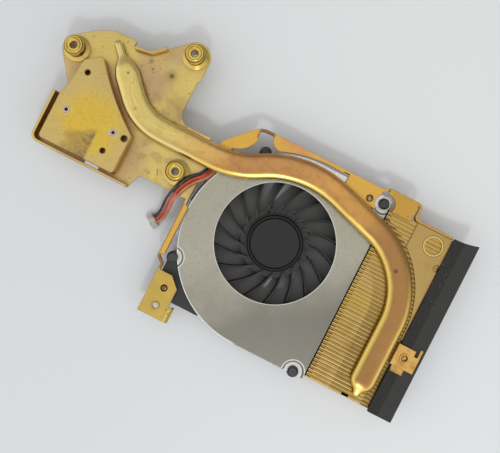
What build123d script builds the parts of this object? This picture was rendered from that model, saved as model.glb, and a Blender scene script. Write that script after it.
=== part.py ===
from build123d import *
import os
from math import atan2, cos, hypot, radians, sin, tan

os.makedirs("parts", exist_ok=True)

# Laptop cooling module: blower fan, flat heat pipe, fin stack and stamped brass sheet.
# The fan axis is Z, the fan's underside is Z = 0 and X runs towards the exhaust. Millimetres.

# Levels and fits
FLOOR_T = 0.8
WALL_TOP = 7.8
COVER_T = 0.4
SHEET_T = 0.8
EDGE_H = 1.8
FIT = 0.05
GAP = 0.2
SHEET_Z = WALL_TOP + COVER_T
SHEET_TOP = SHEET_Z + SHEET_T

# Fan scroll: a half disc whose centre stands off the fan axis, and a straight outlet
SCROLL_R = 32.1
SCROLL_X = 2.0
SCROLL_Y = -2.6
OUTLET_X = 27.5
SCROLL_LOW = SCROLL_Y - SCROLL_R
SCROLL_HIGH = SCROLL_Y + SCROLL_R
SCROLL_LEFT = SCROLL_X - SCROLL_R
HOUSING_INSET = 0.3
WALL_T = 1.0
INLET_R = 19.55
COVER_EDGE = 0.12

# Heat stakes: recessed pads at the cover's edge with moulded heads on them
PAD_R = 3.0
PAD_DROP = 0.6
STAKE_R = 1.0
STAKE_HEAD_R = 1.75
STAKE_HEAD_H = 1.1
STAKE_EDGE = 0.5
POST_R = 2.0
LEFT_STAKE_ANGLE = 209
LEFT_STAKE_OUT = 1.4
TOP_STAKE_ANGLE = 123.3
TOP_STAKE_OUT = 0.45
OUTLET_STAKE_IN = 3.8
OUTLET_STAKE_UP = 0.7
CORNER_STAKE_IN = 2.1
CORNER_STAKE_DOWN = 2.4
PAD_Z = WALL_TOP - PAD_DROP

# Base plate that faces the processor, a part of the brass sheet
PLATE_LOW = -0.3
PLATE_HIGH = 20.4
STEP_X = -48.4
STEP_SLANT = 1.8
LIP_X = -84.0
LIP_Y = -5.5
LIP_TOP_Y = 11.7
LIP_H = 3.2
LIP_CORNER_R = 2.6
SIDE_X = -81.4
SIDE_Y = 14.8
BUMP_IN = 2.6
BUMP_UP = 7.9
TOP_EDGE_RUN = 5.8
TOP_EDGE_Y = 37.5
SLIT_X = -68.4
SLIT_DEPTH = 2.2
WAVE_X = -62.2
WAVE_Y = 36.3
WAVE_END_X = -58.0
WAVE_END_Y = 40.2
NECK_X = -45.3
NECK_STEP_Y = 35.2
RIM_END_X = -33.2
RIM_H = 1.8
RIM_START_X = -41.5
WAVE_H = 2.0
WAVE_R = 2.4
NIB_R = 0.4
NOTCH_R = 0.6
EDGE_R = 1.0
HEEL_R = 1.4
STEP_R = 1.5
SHOULDER_R = 2.5
CROWN_R = 3.0
WAIST_R = 4.5
PIN_CUT_X = -63.6
PIN_CUT_L = 5.0
PIN_CUT_W = 1.7

# Screw bushes swaged into the base plate
BUSH_PLACES = ((-84.3, 26.7), (-49.4, 41.4), (-38.2, 5.9))
BUSH_BORE_R = 1.1
BUSH_H = 4.5
BUSH_FOOT_R = 4.2
BUSH_FOOT_H = 0.4
BUSH_CONE_H = 0.9
BUSH_BODY_R = 2.9
BUSH_NECK_R = 2.5
BUSH_RING_R = 3.15
BUSH_RING_H = 1.3
BUSH_NECK_H = 0.4
BUSH_SPIGOT_R = 2.2
BUSH_EDGE = 0.45
BUSH_BORE_EDGE = 0.25
BUSH_GROOVE_R = 2.1
BUSH_GROOVE_W = 0.25
BUSH_GROOVE_D = 0.3
LOBE_R = 4.8
LOBE_LOW_ANGLE = 215
LOBE_HIGH_ANGLE = 135

# Contact block and its swaged pins
BLOCK_H = 3.4
BLOCK_LEFT = -81.8
BLOCK_LOW = -3.7
BLOCK_RIGHT = -55.5
BLOCK_SHOULDER_Y = 9.6
BLOCK_PEAK = (-74.6, 28.0)
BLOCK_TOP_LEFT = (-79.6, 24.4)
BLOCK_WAIST = (-80.7, 15.0)
BLOCK_HOLLOW = (-65.8, 18.1)
BLOCK_CORNER_R = 1.2
BLOCK_EDGE = 0.2
BLOCK_SMALL_HOLES = ((-76.7, 21.1), (-61.5, 1.4))
BLOCK_SMALL_R = 0.85
BLOCK_LARGE_HOLE = (-57.2, 7.8)
BLOCK_LARGE_R = 1.0
PIN_PLACES = ((-77.5, 7.8), (-61.1, 7.9))
PIN_R = 1.0
PIN_BORE_R = 0.6
PIN_BORE_L = 2.4

# Left arm and fan bracket of the brass sheet
ARM_STANDOFF = 1.7
ARM_W = 2.0
ARM_TOP_Y = -2.0
ARM_LOW_Y = -19.2
ARM_CORNER = 0.7
LINK_TOP_Y = 3.4
LINK_Y = -20.3
LINK_RUN = 1.7
BRACKET_SET = 2.1
BRACKET_W = 8.5
BRACKET_TOP_Y = -24.0
BRACKET_LOW_Y = -38.6
BRACKET_SLOPE = 3.4
BRACKET_HOLE_IN = 4.6
BRACKET_SCREW_Y = -28.7
BRACKET_HOLE_Y = -34.9
BRACKET_HOLE_R = 0.9
RIM_T = 0.4
RIM_RISE = 0.3
HOOK_TOP_Y = -33.6
HOOK_REACH = 1.4
HOOK_R = 1.1
HOOK_DROP = 3.0

# Top arm, right bracket and tab of the brass sheet
TOP_ARM_OUT = 1.7
TOP_ARM_IN = 1.4
TOP_ARM_DROP = 10.0
NECK_INSET = 1.0
NECK_HIGH_IN = 5.4
NECK_HIGH_DROP = 9.0
NECK_LOW_IN = 4.4
NECK_LOW_DROP = 13.6
TOP_ARM_CORNER_X = -20.4
TOP_ARM_CORNER_R = 6.0
LEAF_END_X = -19.8
LEAF_END_DROP = 4.6
LEAF_BELLY_X = -23.8
LEAF_BELLY_DROP = 9.5
FLANGE_START_X = -15.8
FLANGE_NOSE_X = -12.2
FLANGE_NOSE_DROP = 4.5
FLANGE_BOW_X = -14.9
FLANGE_BOW_DROP = 3.0
FLANGE_MID_X = -3.0
FLANGE_MID_DROP = 1.8
FLANGE_END_X = 9.4
FLANGE_END_W = 1.4
RIGHT_BRACKET_X = 11.3
RIGHT_BRACKET_W = 11.9
RIGHT_BRACKET_L = 7.0
RIGHT_SCREW_X = 20.3
RIGHT_SCREW_DROP = 4.6
STAKE_WINDOW_R = 3.2
TAB_X = 25.0
TAB_W = 10.2
TAB_L = 6.6
TAB_OUT = 1.1
TAB_CORNER_R = 0.9
JOG_X = 23.4
JOG_RUN = 1.4
END_WALL_X = 36.4
WALL_BEND_R = 1.2
ARM_FACE = SCROLL_LEFT - ARM_STANDOFF
TOP_FACE = SCROLL_HIGH + TOP_ARM_OUT
TAB_FACE = TOP_FACE + TAB_OUT
BRACKET_LEFT = ARM_FACE + BRACKET_SET
BRACKET_RIGHT = BRACKET_LEFT + BRACKET_W
BRACKET_SCREW = (BRACKET_LEFT + BRACKET_HOLE_IN, BRACKET_SCREW_Y)
BRACKET_HOLE = (BRACKET_LEFT + BRACKET_HOLE_IN, BRACKET_HOLE_Y)
PLATE_RIGHT = ARM_FACE + SHEET_T
TOP_ARM_START = (PLATE_RIGHT + TOP_ARM_IN, TOP_FACE - TOP_ARM_DROP)
NECK_HIGH = (PLATE_RIGHT + NECK_HIGH_IN, TOP_FACE - NECK_HIGH_DROP)
NECK_LOW = (PLATE_RIGHT + NECK_LOW_IN, TOP_FACE - NECK_LOW_DROP)
LEAF_END = (LEAF_END_X, TOP_FACE - LEAF_END_DROP)
LEAF_BELLY = (LEAF_BELLY_X, TOP_FACE - LEAF_BELLY_DROP)
FLANGE_NOSE = (FLANGE_NOSE_X, TOP_FACE - FLANGE_NOSE_DROP)
FLANGE_BOW = (FLANGE_BOW_X, TOP_FACE - FLANGE_BOW_DROP)
FLANGE_MID = (FLANGE_MID_X, TOP_FACE - FLANGE_MID_DROP)
FLANGE_END = (FLANGE_END_X, TOP_FACE - FLANGE_END_W)
RIGHT_SCREW = (RIGHT_SCREW_X, TOP_FACE - RIGHT_SCREW_DROP)

# Screws from below that hold the fan to the sheet
SCREW_R = 1.1
SCREW_HEAD_R = 1.9
SCREW_HEAD_H = 0.9
SCREW_ROUND = 0.6
SCREW_TIP = 0.3
SCREW_SINK = 0.2

# Fin stack of folded fins, its top plate, gasket and clip
FIN_COUNT = 47
FIN_LENGTH = 25.3
FIN_T = 0.25
FIN_FOLD_T = 0.3
FIN_SEAM_W = 0.26
FIN_SEAM_D = 0.2
FIN_SLIT_W = 0.28
FIN_SLIT_L = 1.5
FIN_SIDE = 1.3
FIN_TOP_SIDE = 3.1
FIN_NOTCH_X = 40.4
FIN_NOTCH_L = 2.4
FIN_NOTCH_W = 1.0
FIN_X = OUTLET_X + GAP
FIN_LOW = SCROLL_LOW + FIN_SIDE
FIN_HIGH = SCROLL_HIGH - FIN_TOP_SIDE
FIN_PITCH = (FIN_HIGH - FIN_LOW) / FIN_COUNT
FIN_END = FIN_X + FIN_LENGTH
END_STRIP_Y = FIN_HIGH + GAP + SHEET_T / 2
PLATE_T = 0.4
PLATE_GAP = 1.3
PLATE_LEFT = 37.6
PLATE_TAIL_Y = -9.2
PLATE_STEP = 0.9
WINDOW = (45.2, 22.0)
WINDOW_R = 2.8
VENT = (49.4, 16.1)
VENT_R = 1.05
GASKET_T = 0.8
GASKET_X = 50.0
GASKET_W = 8.2
GASKET_OVER = 0.7
GASKET_FLARE = 1.3
GASKET_SAG = 0.35
GASKET_CORNER_R = 0.25
CLIP_T = 0.5
CLIP_LOW_Y = -17.3
CLIP_TOP_Y = -10.2
CLIP_REACH = 7.9
CLIP_SCREW = (52.7, -13.8)
CLIP_BORE_R = 1.0
CLIP_BOSS_R = 1.5
CLIP_BOSS_H = 0.4
CLIP_FINGER_W = 0.9
CLIP_FINGER_UP = 1.1
CLIP_SLOT_W = 1.1
CLIP_SLOT_L = 1.8
CLIP_TONGUE_X = 0.9
CLIP_TONGUE_W = 4.2
CLIP_TONGUE_L = 1.9
CLIP_TONGUE_T = 0.2
CLIP_TONGUE_LIP = 0.35

# Flattened heat pipe: straight runs and bends of its centre line
PIPE_W = 8.0
PIPE_T = 3.0
PIPE_START = (-66.1, 26.6)
PIPE_BEND_1 = (-55.8, 15.6)
PIPE_BEND_2 = (-22.5, 15.6)
PIPE_BEND_3 = (-2.2, 27.1)
PIPE_BEND_4 = (44.2, 12.7)
PIPE_END_Y = -26.4
PIPE_RADII = (17.0, 30.0, 33.0, 26.0)
PIPE_SHOULDER_L = 5.6
PIPE_SHOULDER_W = 6.4
PIPE_SHOULDER_T = 2.75
PIPE_TAIL_L = 5.2
PIPE_TAIL_W = 2.5
PIPE_TAIL_T = 1.7
PIPE_ROUND_L = 3.4
PIPE_ROUND_W = 6.6
PIPE_BEAK_L = 1.6
PIPE_BEAK_W = 2.4
PIPE_BEAK_T = 1.6

# Fan rotor
BLADE_COUNT = 18
BLADE_T = 0.6
BLADE_OFFSET = 7.5
BLADE_BOW = 0.4
BLADE_SWEEP = 0.5
BLADE_IN = 6.6
BLADE_OUT = 20.9
BLADE_Z = 1.6
BLADE_H = 5.2
BLADE_PHASE = 4.9
HUB_R = 9.2
HUB_TOP = 7.4
HUB_CAP_T = 1.0
HUB_SKIRT_T = 0.7
HUB_FOOT_Z = 1.8
HUB_EDGE = 0.5
HUB_GROOVE_R = 8.1
HUB_GROOVE_W = 0.35
HUB_GROOVE_D = 0.3
HUB_FLANGE_R = 11.2
HUB_HOLE_R = 0.5
HUB_HOLE_OUT = 10.3
HUB_HOLE_ANGLE = 128
HUB_FLANGE_Z = 4.6
HUB_FLANGE_T = 0.7
HUB_BOSS_R = 2.0
HUB_BOSS_H = 0.9
YOKE_T = 0.4
MAGNET_T = 1.15
MAGNET_H = 3.6
SHAFT_R = 0.75
SHAFT_FOOT_GAP = 0.05
SHAFT_BLIND = 0.6
RUNNING = 0.03
PRESS = 0.01

# Fan stator and bearing
BEARING_R = 2.0
BEARING_H = 4.0
TUBE_T = 0.6
TUBE_H = 4.2
SEAT_R = 3.2
SEAT_Z = 2.4
THRUST_T = 0.4
CORE_H = 2.0
CORE_R = 6.45
CORE_RING_T = 0.8
POLE_COUNT = 6
POLE_W = 1.0
SHOE_T = 0.7
SHOE_GAP = 0.8
COIL_T = 0.55
COIL_L = 1.3
BOARD_R = 7.4
BOARD_T = 0.5

# Housing ear under the left bracket, wire guide and wires
EAR_H = 6.6
EAR_SET = 1.2
EAR_TOP_Y = -19.5
EAR_LOW = -32.3
EAR_RIGHT = -11.8
EAR_ROOT = (-10.0, -20.0)
BOSS_R = 2.8
RIB_IN = 0.1
RIB_W = 1.4
RIB_START = 161
RIB_SWEEP = 14
RIB_H = 7.6
GUIDE_AXIS = 236
GUIDE_PLACE = (-25.9, 17.0)
GUIDE_L = 3.2
GUIDE_OUT = 2.0
GUIDE_Z = 4.0
GUIDE_H = 3.2
WIRE_D = 0.9
WIRE_SEAT = 0.4
BEND_SHARE = 0.45
PLUG_PLACE = (-39.2, -11.6)
PLUG_AXIS = 235
PLUG_BACK = 0.9
PLUG_L = 1.4
PLUG_W = 4.8
PLUG_H = 2.2
PLUG_KEY_W = 1.3
PLUG_KEY_H = 0.3
PLUG_EDGE = 0.25

# Wire routes from the guide on the fan to the plug on the table
RED_ROUTE = (
    (-25.9, 17.0, 5.6),
    (-27.5, 14.6, 6.2),
    (-28.9, 11.8, 7.6),
    (-29.8, 9.0, 9.9),
    (-33.1, 6.0, 10.0),
    (-35.2, 1.9, 9.8),
    (-36.2, -2.2, 9.6),
    (-36.7, -5.2, 6.4),
    (-37.0, -7.5, 3.2),
    (-37.9, -9.7, 1.5),
    (-39.2, -11.6, 1.2),
)
BLACK_ROUTE = (
    (-26.8, 17.7, 5.6),
    (-28.5, 15.0, 6.1),
    (-29.95, 12.0, 7.6),
    (-30.9, 9.2, 10.0),
    (-34.0, 6.7, 10.5),
    (-36.2, 2.1, 10.6),
    (-37.3, -2.1, 10.0),
    (-37.8, -5.0, 6.8),
    (-38.1, -7.2, 3.5),
    (-38.9, -9.2, 1.6),
    (-40.1, -11.0, 1.2),
)
ORANGE_ROUTE = (
    (-25.0, 16.3, 5.6),
    (-26.5, 14.1, 6.2),
    (-27.85, 11.5, 7.6),
    (-28.7, 8.7, 9.8),
    (-32.1, 5.4, 9.9),
    (-34.1, 1.6, 9.7),
    (-35.1, -2.4, 9.4),
    (-35.6, -5.4, 6.0),
    (-35.9, -7.8, 3.0),
    (-36.9, -10.2, 1.4),
    (-38.3, -12.2, 1.2),
)


def on_scroll(angle, out):
    """Point at an angle round the scroll's centre, outside the cover's edge by out."""
    reach = SCROLL_R + out
    return (SCROLL_X + reach * cos(radians(angle)), SCROLL_Y + reach * sin(radians(angle)))


def scroll_shape(inset, outlet, mode=Mode.ADD):
    """Half disc with a straight outlet, drawn inside the cover's edge by inset."""
    low = SCROLL_LOW + inset
    high = SCROLL_HIGH - inset
    with BuildLine() as edge:
        Polyline((SCROLL_X, high), (outlet, high), (outlet, low), (SCROLL_X, low))
        ThreePointArc((SCROLL_X, low), (SCROLL_LEFT + inset, SCROLL_Y), (SCROLL_X, high))
    make_face(edge.edges(), mode=mode)


def on_lobe(place, angle):
    """Point on the round lobe of the plate about a bush."""
    return (place[0] + LOBE_R * cos(radians(angle)), place[1] + LOBE_R * sin(radians(angle)))


def span(x0, x1, y0, y1):
    """Rectangle between two X and two Y values."""
    with Locations(((x0 + x1) / 2, (y0 + y1) / 2)):
        Rectangle(x1 - x0, y1 - y0)


def strip(points, radii):
    """Sheet seen on edge: a strip of its thickness along a line with rounded bends."""
    with BuildLine() as line:
        FilletPolyline(*points, radius=radii)
    trace(line.line, line_width=SHEET_T)


def along_table(place, angle):
    """Level plane at a place on the table whose X runs at an angle."""
    return Plane(origin=(*place, 0), x_dir=(cos(radians(angle)), sin(radians(angle)), 0))


def bend_radii(route):
    """Largest soft bend at each corner of a route that leaves part of every run straight."""
    points = [Vector(*point) for point in route]
    radii = []
    for before, corner, after in zip(points, points[1:], points[2:]):
        turn = radians((corner - before).get_angle(after - corner))
        run = min((corner - before).length, (after - corner).length)
        radii.append(BEND_SHARE * run / tan(turn / 2))
    return radii


STAKE_PLACES = (
    on_scroll(LEFT_STAKE_ANGLE, LEFT_STAKE_OUT),
    (OUTLET_X - OUTLET_STAKE_IN, SCROLL_LOW + OUTLET_STAKE_UP),
    on_scroll(TOP_STAKE_ANGLE, TOP_STAKE_OUT),
    (OUTLET_X - CORNER_STAKE_IN, SCROLL_HIGH - CORNER_STAKE_DOWN),
)
CORNER_STAKE = STAKE_PLACES[3]

# Brass mounting sheet: base plate, arms and brackets stamped and folded from one blank
BUSH_1, BUSH_2, BUSH_3 = BUSH_PLACES
BUMP_X = BUSH_1[0] + BUMP_IN
BUMP_Y = BUSH_1[1] + BUMP_UP
PLATE_OUTLINE = (
    ((PLATE_RIGHT, PLATE_LOW), HEEL_R),
    ((STEP_X, PLATE_LOW), STEP_R),
    ((STEP_X - STEP_SLANT, LIP_Y), NIB_R),
    ((LIP_X, LIP_Y), LIP_CORNER_R),
    ((LIP_X, LIP_TOP_Y), NIB_R),
    ((SIDE_X, LIP_TOP_Y), NOTCH_R),
    ((SIDE_X, SIDE_Y), STEP_R),
    (on_lobe(BUSH_1, LOBE_LOW_ANGLE), 0),
    (on_lobe(BUSH_1, LOBE_HIGH_ANGLE), 0),
    ((BUMP_X, BUMP_Y), SHOULDER_R),
    ((BUMP_X + TOP_EDGE_RUN, TOP_EDGE_Y), CROWN_R),
    ((SLIT_X, TOP_EDGE_Y), NIB_R),
    ((SLIT_X, TOP_EDGE_Y - SLIT_DEPTH), NIB_R),
    ((WAVE_X, WAVE_Y), WAVE_R),
    ((WAVE_END_X, WAVE_END_Y), EDGE_R),
    (on_lobe(BUSH_2, LOBE_HIGH_ANGLE), 0),
    (on_lobe(BUSH_2, 0), 0),
    ((BUSH_2[0] + LOBE_R, NECK_STEP_Y), NIB_R),
    ((NECK_X, NECK_STEP_Y - SHEET_T), NIB_R),
    ((NECK_X, PLATE_HIGH), WAIST_R),
    ((RIM_END_X, PLATE_HIGH), NIB_R),
    ((RIM_END_X, PLATE_HIGH - 2 * SHEET_T), NIB_R),
    ((PLATE_RIGHT, PLATE_HIGH - 2 * SHEET_T), NIB_R),
)
ARM_WALL_X = ARM_FACE + SHEET_T / 2
BRACKET_WALL_X = BRACKET_LEFT + SHEET_T / 2
TOP_WALL_Y = TOP_FACE - SHEET_T / 2
TAB_WALL_Y = TAB_FACE - SHEET_T / 2
HOOK_Z = SHEET_Z + SHEET_T / 2
NECK_OUTLINE = (
    (PLATE_RIGHT - SHEET_T, PIPE_BEND_2[1] - NECK_INSET),
    (PLATE_RIGHT - SHEET_T, PIPE_BEND_2[1] + PIPE_W / 2 - NECK_INSET),
    TOP_ARM_START,
    NECK_HIGH,
    NECK_LOW,
)

with BuildPart() as mounting_plate:
    # Flat base plate with its lobes
    with BuildSketch(Plane.XY.offset(SHEET_Z)) as base_flat:
        with BuildLine():
            FilletPolyline(
                *(point for point, _ in PLATE_OUTLINE),
                radius=[radius for _, radius in PLATE_OUTLINE],
                close=True,
            )
        make_face()
        with Locations(BUSH_1, BUSH_2):
            Circle(LOBE_R)
        with Locations((PIN_CUT_X, (LIP_Y + SHEET_T + BLOCK_LOW) / 2)):
            Rectangle(PIN_CUT_L, PIN_CUT_W, mode=Mode.SUBTRACT)
    extrude(amount=SHEET_T)
    # Neck under the heat pipe, with the leaf and the long flange of the top arm
    with BuildSketch(Plane.XY.offset(SHEET_Z)) as top_flat:
        with BuildLine():
            Polyline(*NECK_OUTLINE, close=True)
        make_face()
        with BuildLine():
            Line(TOP_ARM_START, (TOP_ARM_CORNER_X, TOP_WALL_Y))
            Line((TOP_ARM_CORNER_X, TOP_WALL_Y), LEAF_END)
            ThreePointArc(LEAF_END, LEAF_BELLY, TOP_ARM_START)
        make_face()
        with BuildLine():
            ThreePointArc((FLANGE_START_X, TOP_WALL_Y), FLANGE_BOW, FLANGE_NOSE)
            ThreePointArc(FLANGE_NOSE, FLANGE_MID, FLANGE_END)
            Line(FLANGE_END, (FLANGE_END_X, TOP_WALL_Y))
            Line((FLANGE_END_X, TOP_WALL_Y), (FLANGE_START_X, TOP_WALL_Y))
        make_face()
        span(RIGHT_BRACKET_X, RIGHT_BRACKET_X + RIGHT_BRACKET_W, TOP_FACE - RIGHT_BRACKET_L, TOP_WALL_Y)
        with Locations(CORNER_STAKE):
            Circle(STAKE_WINDOW_R, mode=Mode.SUBTRACT)
    extrude(amount=SHEET_T)
    # Left arm and left bracket
    with BuildSketch(Plane.XY.offset(SHEET_Z)) as arm_flat:
        span(ARM_FACE, ARM_FACE + ARM_W, ARM_LOW_Y, ARM_TOP_Y)
        chamfer(arm_flat.vertices(), ARM_CORNER)
    extrude(amount=SHEET_T)
    with BuildSketch(Plane.XY.offset(SHEET_Z)) as bracket_flat:
        with BuildLine():
            Polyline(
                (BRACKET_LEFT, BRACKET_TOP_Y),
                (BRACKET_RIGHT - BRACKET_SLOPE, BRACKET_TOP_Y),
                (BRACKET_RIGHT, BRACKET_TOP_Y - BRACKET_SLOPE),
                (BRACKET_RIGHT, BRACKET_LOW_Y),
                (BRACKET_LEFT, BRACKET_LOW_Y),
                close=True,
            )
        make_face()
    extrude(amount=SHEET_T)
    # Raised rim of the bracket's open hole, and the hook bent down at its corner
    with BuildSketch(Plane.XY.offset(SHEET_TOP)) as rim_ring:
        with Locations(BRACKET_HOLE):
            Circle(BRACKET_HOLE_R + RIM_T)
    extrude(amount=RIM_RISE)
    with BuildSketch(Plane.XZ.offset(-HOOK_TOP_Y)) as hook_edge:
        strip(
            (
                (BRACKET_RIGHT - HOOK_REACH, HOOK_Z),
                (BRACKET_RIGHT + HOOK_REACH, HOOK_Z),
                (BRACKET_RIGHT + HOOK_REACH, HOOK_Z - HOOK_DROP),
            ),
            HOOK_R,
        )
    extrude(amount=HOOK_TOP_Y - BRACKET_LOW_Y)
    # Edges turned down along the arms
    with BuildSketch(Plane.XY.offset(SHEET_TOP)) as side_wall:
        strip(
            (
                (ARM_WALL_X, LINK_TOP_Y),
                (ARM_WALL_X, LINK_Y),
                (BRACKET_WALL_X, LINK_Y - LINK_RUN),
                (BRACKET_WALL_X, BRACKET_LOW_Y),
            ),
            WALL_BEND_R,
        )
    extrude(amount=-EDGE_H)
    with BuildSketch(Plane.XY.offset(SHEET_TOP)) as top_wall:
        strip(
            (
                TOP_ARM_START,
                (TOP_ARM_CORNER_X, TOP_WALL_Y),
                (JOG_X, TOP_WALL_Y),
                (JOG_X + JOG_RUN, TAB_WALL_Y),
                (END_WALL_X, TAB_WALL_Y),
                (END_WALL_X, END_STRIP_Y),
                (GASKET_X - GAP, END_STRIP_Y),
            ),
            (TOP_ARM_CORNER_R, WALL_BEND_R, WALL_BEND_R, WALL_BEND_R, WALL_BEND_R),
        )
    extrude(amount=-EDGE_H)
    # Tab one sheet higher, on the fins
    with BuildSketch(Plane.XY.offset(SHEET_TOP)) as tab_flat:
        span(TAB_X, TAB_X + TAB_W, TAB_FACE - TAB_L, TAB_FACE)
        fillet(tab_flat.vertices().group_by(Axis.Y)[0], TAB_CORNER_R)
        with Locations(CORNER_STAKE):
            Circle(STAKE_WINDOW_R, mode=Mode.SUBTRACT)
    extrude(amount=SHEET_T)
    # Lips turned up round the contact block, along the pipe and at the plate's top edge
    with BuildSketch(Plane.XY.offset(SHEET_Z)) as block_lip:
        strip(
            (
                (STEP_X - STEP_SLANT, LIP_Y + SHEET_T / 2),
                (LIP_X + SHEET_T / 2, LIP_Y + SHEET_T / 2),
                (LIP_X + SHEET_T / 2, LIP_TOP_Y),
            ),
            LIP_CORNER_R - SHEET_T / 2,
        )
    extrude(amount=SHEET_T + LIP_H)
    with BuildSketch(Plane.XY.offset(SHEET_Z)) as pipe_lip:
        span(RIM_START_X, RIM_END_X, PLATE_HIGH - SHEET_T, PLATE_HIGH)
    extrude(amount=SHEET_T + RIM_H)
    with BuildSketch(Plane.XY.offset(SHEET_Z)) as wave_lip:
        strip(
            (
                (SLIT_X + SHEET_T, TOP_EDGE_Y - SLIT_DEPTH - SHEET_T / 4),
                (WAVE_X, WAVE_Y - SHEET_T / 2),
                (WAVE_END_X - SHEET_T / 2, WAVE_END_Y - SHEET_T),
            ),
            WAVE_R,
        )
    extrude(amount=SHEET_T + WAVE_H)
    # Holes for the bushes, the screws and the open bracket hole
    with Locations(*((x, y, SHEET_TOP) for x, y in BUSH_PLACES)):
        Hole(BUSH_SPIGOT_R + FIT, SHEET_T)
    with Locations((*BRACKET_SCREW, SHEET_TOP), (*RIGHT_SCREW, SHEET_TOP)):
        Hole(SCREW_R + FIT, SHEET_T)
    with Locations((*BRACKET_HOLE, SHEET_TOP + RIM_RISE)):
        Hole(BRACKET_HOLE_R, SHEET_T + RIM_RISE)
mounting_plate.part.label = "mounting_plate"
export_step(mounting_plate.part, "parts/mounting_plate.step")

# Screw bushes: flared foot, body, undercut neck and grooved top ring
BUSH_TOP = SHEET_TOP + BUSH_H
RING_Z = BUSH_TOP - BUSH_RING_H
for number, place in enumerate(BUSH_PLACES, 1):
    with BuildPart() as screw_bush:
        with BuildSketch(Plane.XZ) as bush_section:
            with BuildLine():
                Polyline(
                    (BUSH_BORE_R, SHEET_Z),
                    (BUSH_SPIGOT_R, SHEET_Z),
                    (BUSH_SPIGOT_R, SHEET_TOP),
                    (BUSH_FOOT_R, SHEET_TOP),
                    (BUSH_FOOT_R, SHEET_TOP + BUSH_FOOT_H),
                    (BUSH_BODY_R, SHEET_TOP + BUSH_CONE_H),
                    (BUSH_BODY_R, RING_Z - BUSH_NECK_H),
                    (BUSH_NECK_R, RING_Z - BUSH_NECK_H),
                    (BUSH_NECK_R, RING_Z),
                    (BUSH_RING_R, RING_Z),
                    (BUSH_RING_R, BUSH_TOP - BUSH_EDGE),
                    (BUSH_RING_R - BUSH_EDGE, BUSH_TOP),
                    (BUSH_GROOVE_R + BUSH_GROOVE_W, BUSH_TOP),
                    (BUSH_GROOVE_R, BUSH_TOP - BUSH_GROOVE_D),
                    (BUSH_GROOVE_R - BUSH_GROOVE_W, BUSH_TOP),
                    (BUSH_BORE_R + BUSH_BORE_EDGE, BUSH_TOP),
                    (BUSH_BORE_R, BUSH_TOP - BUSH_BORE_EDGE),
                    close=True,
                )
            make_face()
        revolve(axis=Axis.Z)
    bush = screw_bush.part.moved(Location((*place, 0)))
    bush.label = f"screw_bush_{number}"
    export_step(bush, f"parts/screw_bush_{number}.step")

# Contact block soldered to the base plate
BLOCK_TOP = SHEET_TOP + BLOCK_H
with BuildPart() as contact_block:
    with BuildSketch(Plane.XY.offset(SHEET_TOP)) as block_outline:
        with BuildLine():
            Polyline(
                BLOCK_PEAK,
                BLOCK_TOP_LEFT,
                BLOCK_WAIST,
                (BLOCK_LEFT, LIP_TOP_Y),
                (BLOCK_LEFT, BLOCK_LOW),
                (BLOCK_RIGHT, BLOCK_LOW),
                (BLOCK_RIGHT, BLOCK_SHOULDER_Y),
            )
            ThreePointArc((BLOCK_RIGHT, BLOCK_SHOULDER_Y), BLOCK_HOLLOW, BLOCK_PEAK)
        make_face()
        fillet(block_outline.vertices(), BLOCK_CORNER_R)
    extrude(amount=BLOCK_H)
    chamfer(contact_block.faces().sort_by(Axis.Z)[-1].edges(), BLOCK_EDGE)
    with Locations(*((x, y, BLOCK_TOP) for x, y in BLOCK_SMALL_HOLES)):
        Hole(BLOCK_SMALL_R, BLOCK_H)
    with Locations((*BLOCK_LARGE_HOLE, BLOCK_TOP)):
        Hole(BLOCK_LARGE_R, BLOCK_H)
    with Locations(*((x, y, BLOCK_TOP) for x, y in PIN_PLACES)):
        Hole(PIN_R + FIT, BLOCK_H)
contact_block.part.label = "contact_block"
export_step(contact_block.part, "parts/contact_block.step")

# Steel pins swaged into the block, each with a bore in its end
with BuildPart() as block_pins:
    with BuildSketch(Plane.XY.offset(SHEET_TOP)) as pin_rounds:
        with Locations(*PIN_PLACES):
            Circle(PIN_R)
    extrude(amount=BLOCK_H)
    with Locations(*((x, y, BLOCK_TOP) for x, y in PIN_PLACES)):
        Hole(PIN_BORE_R, PIN_BORE_L)
block_pins.part.label = "block_pins"
export_step(block_pins.part, "parts/block_pins.step")

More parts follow.
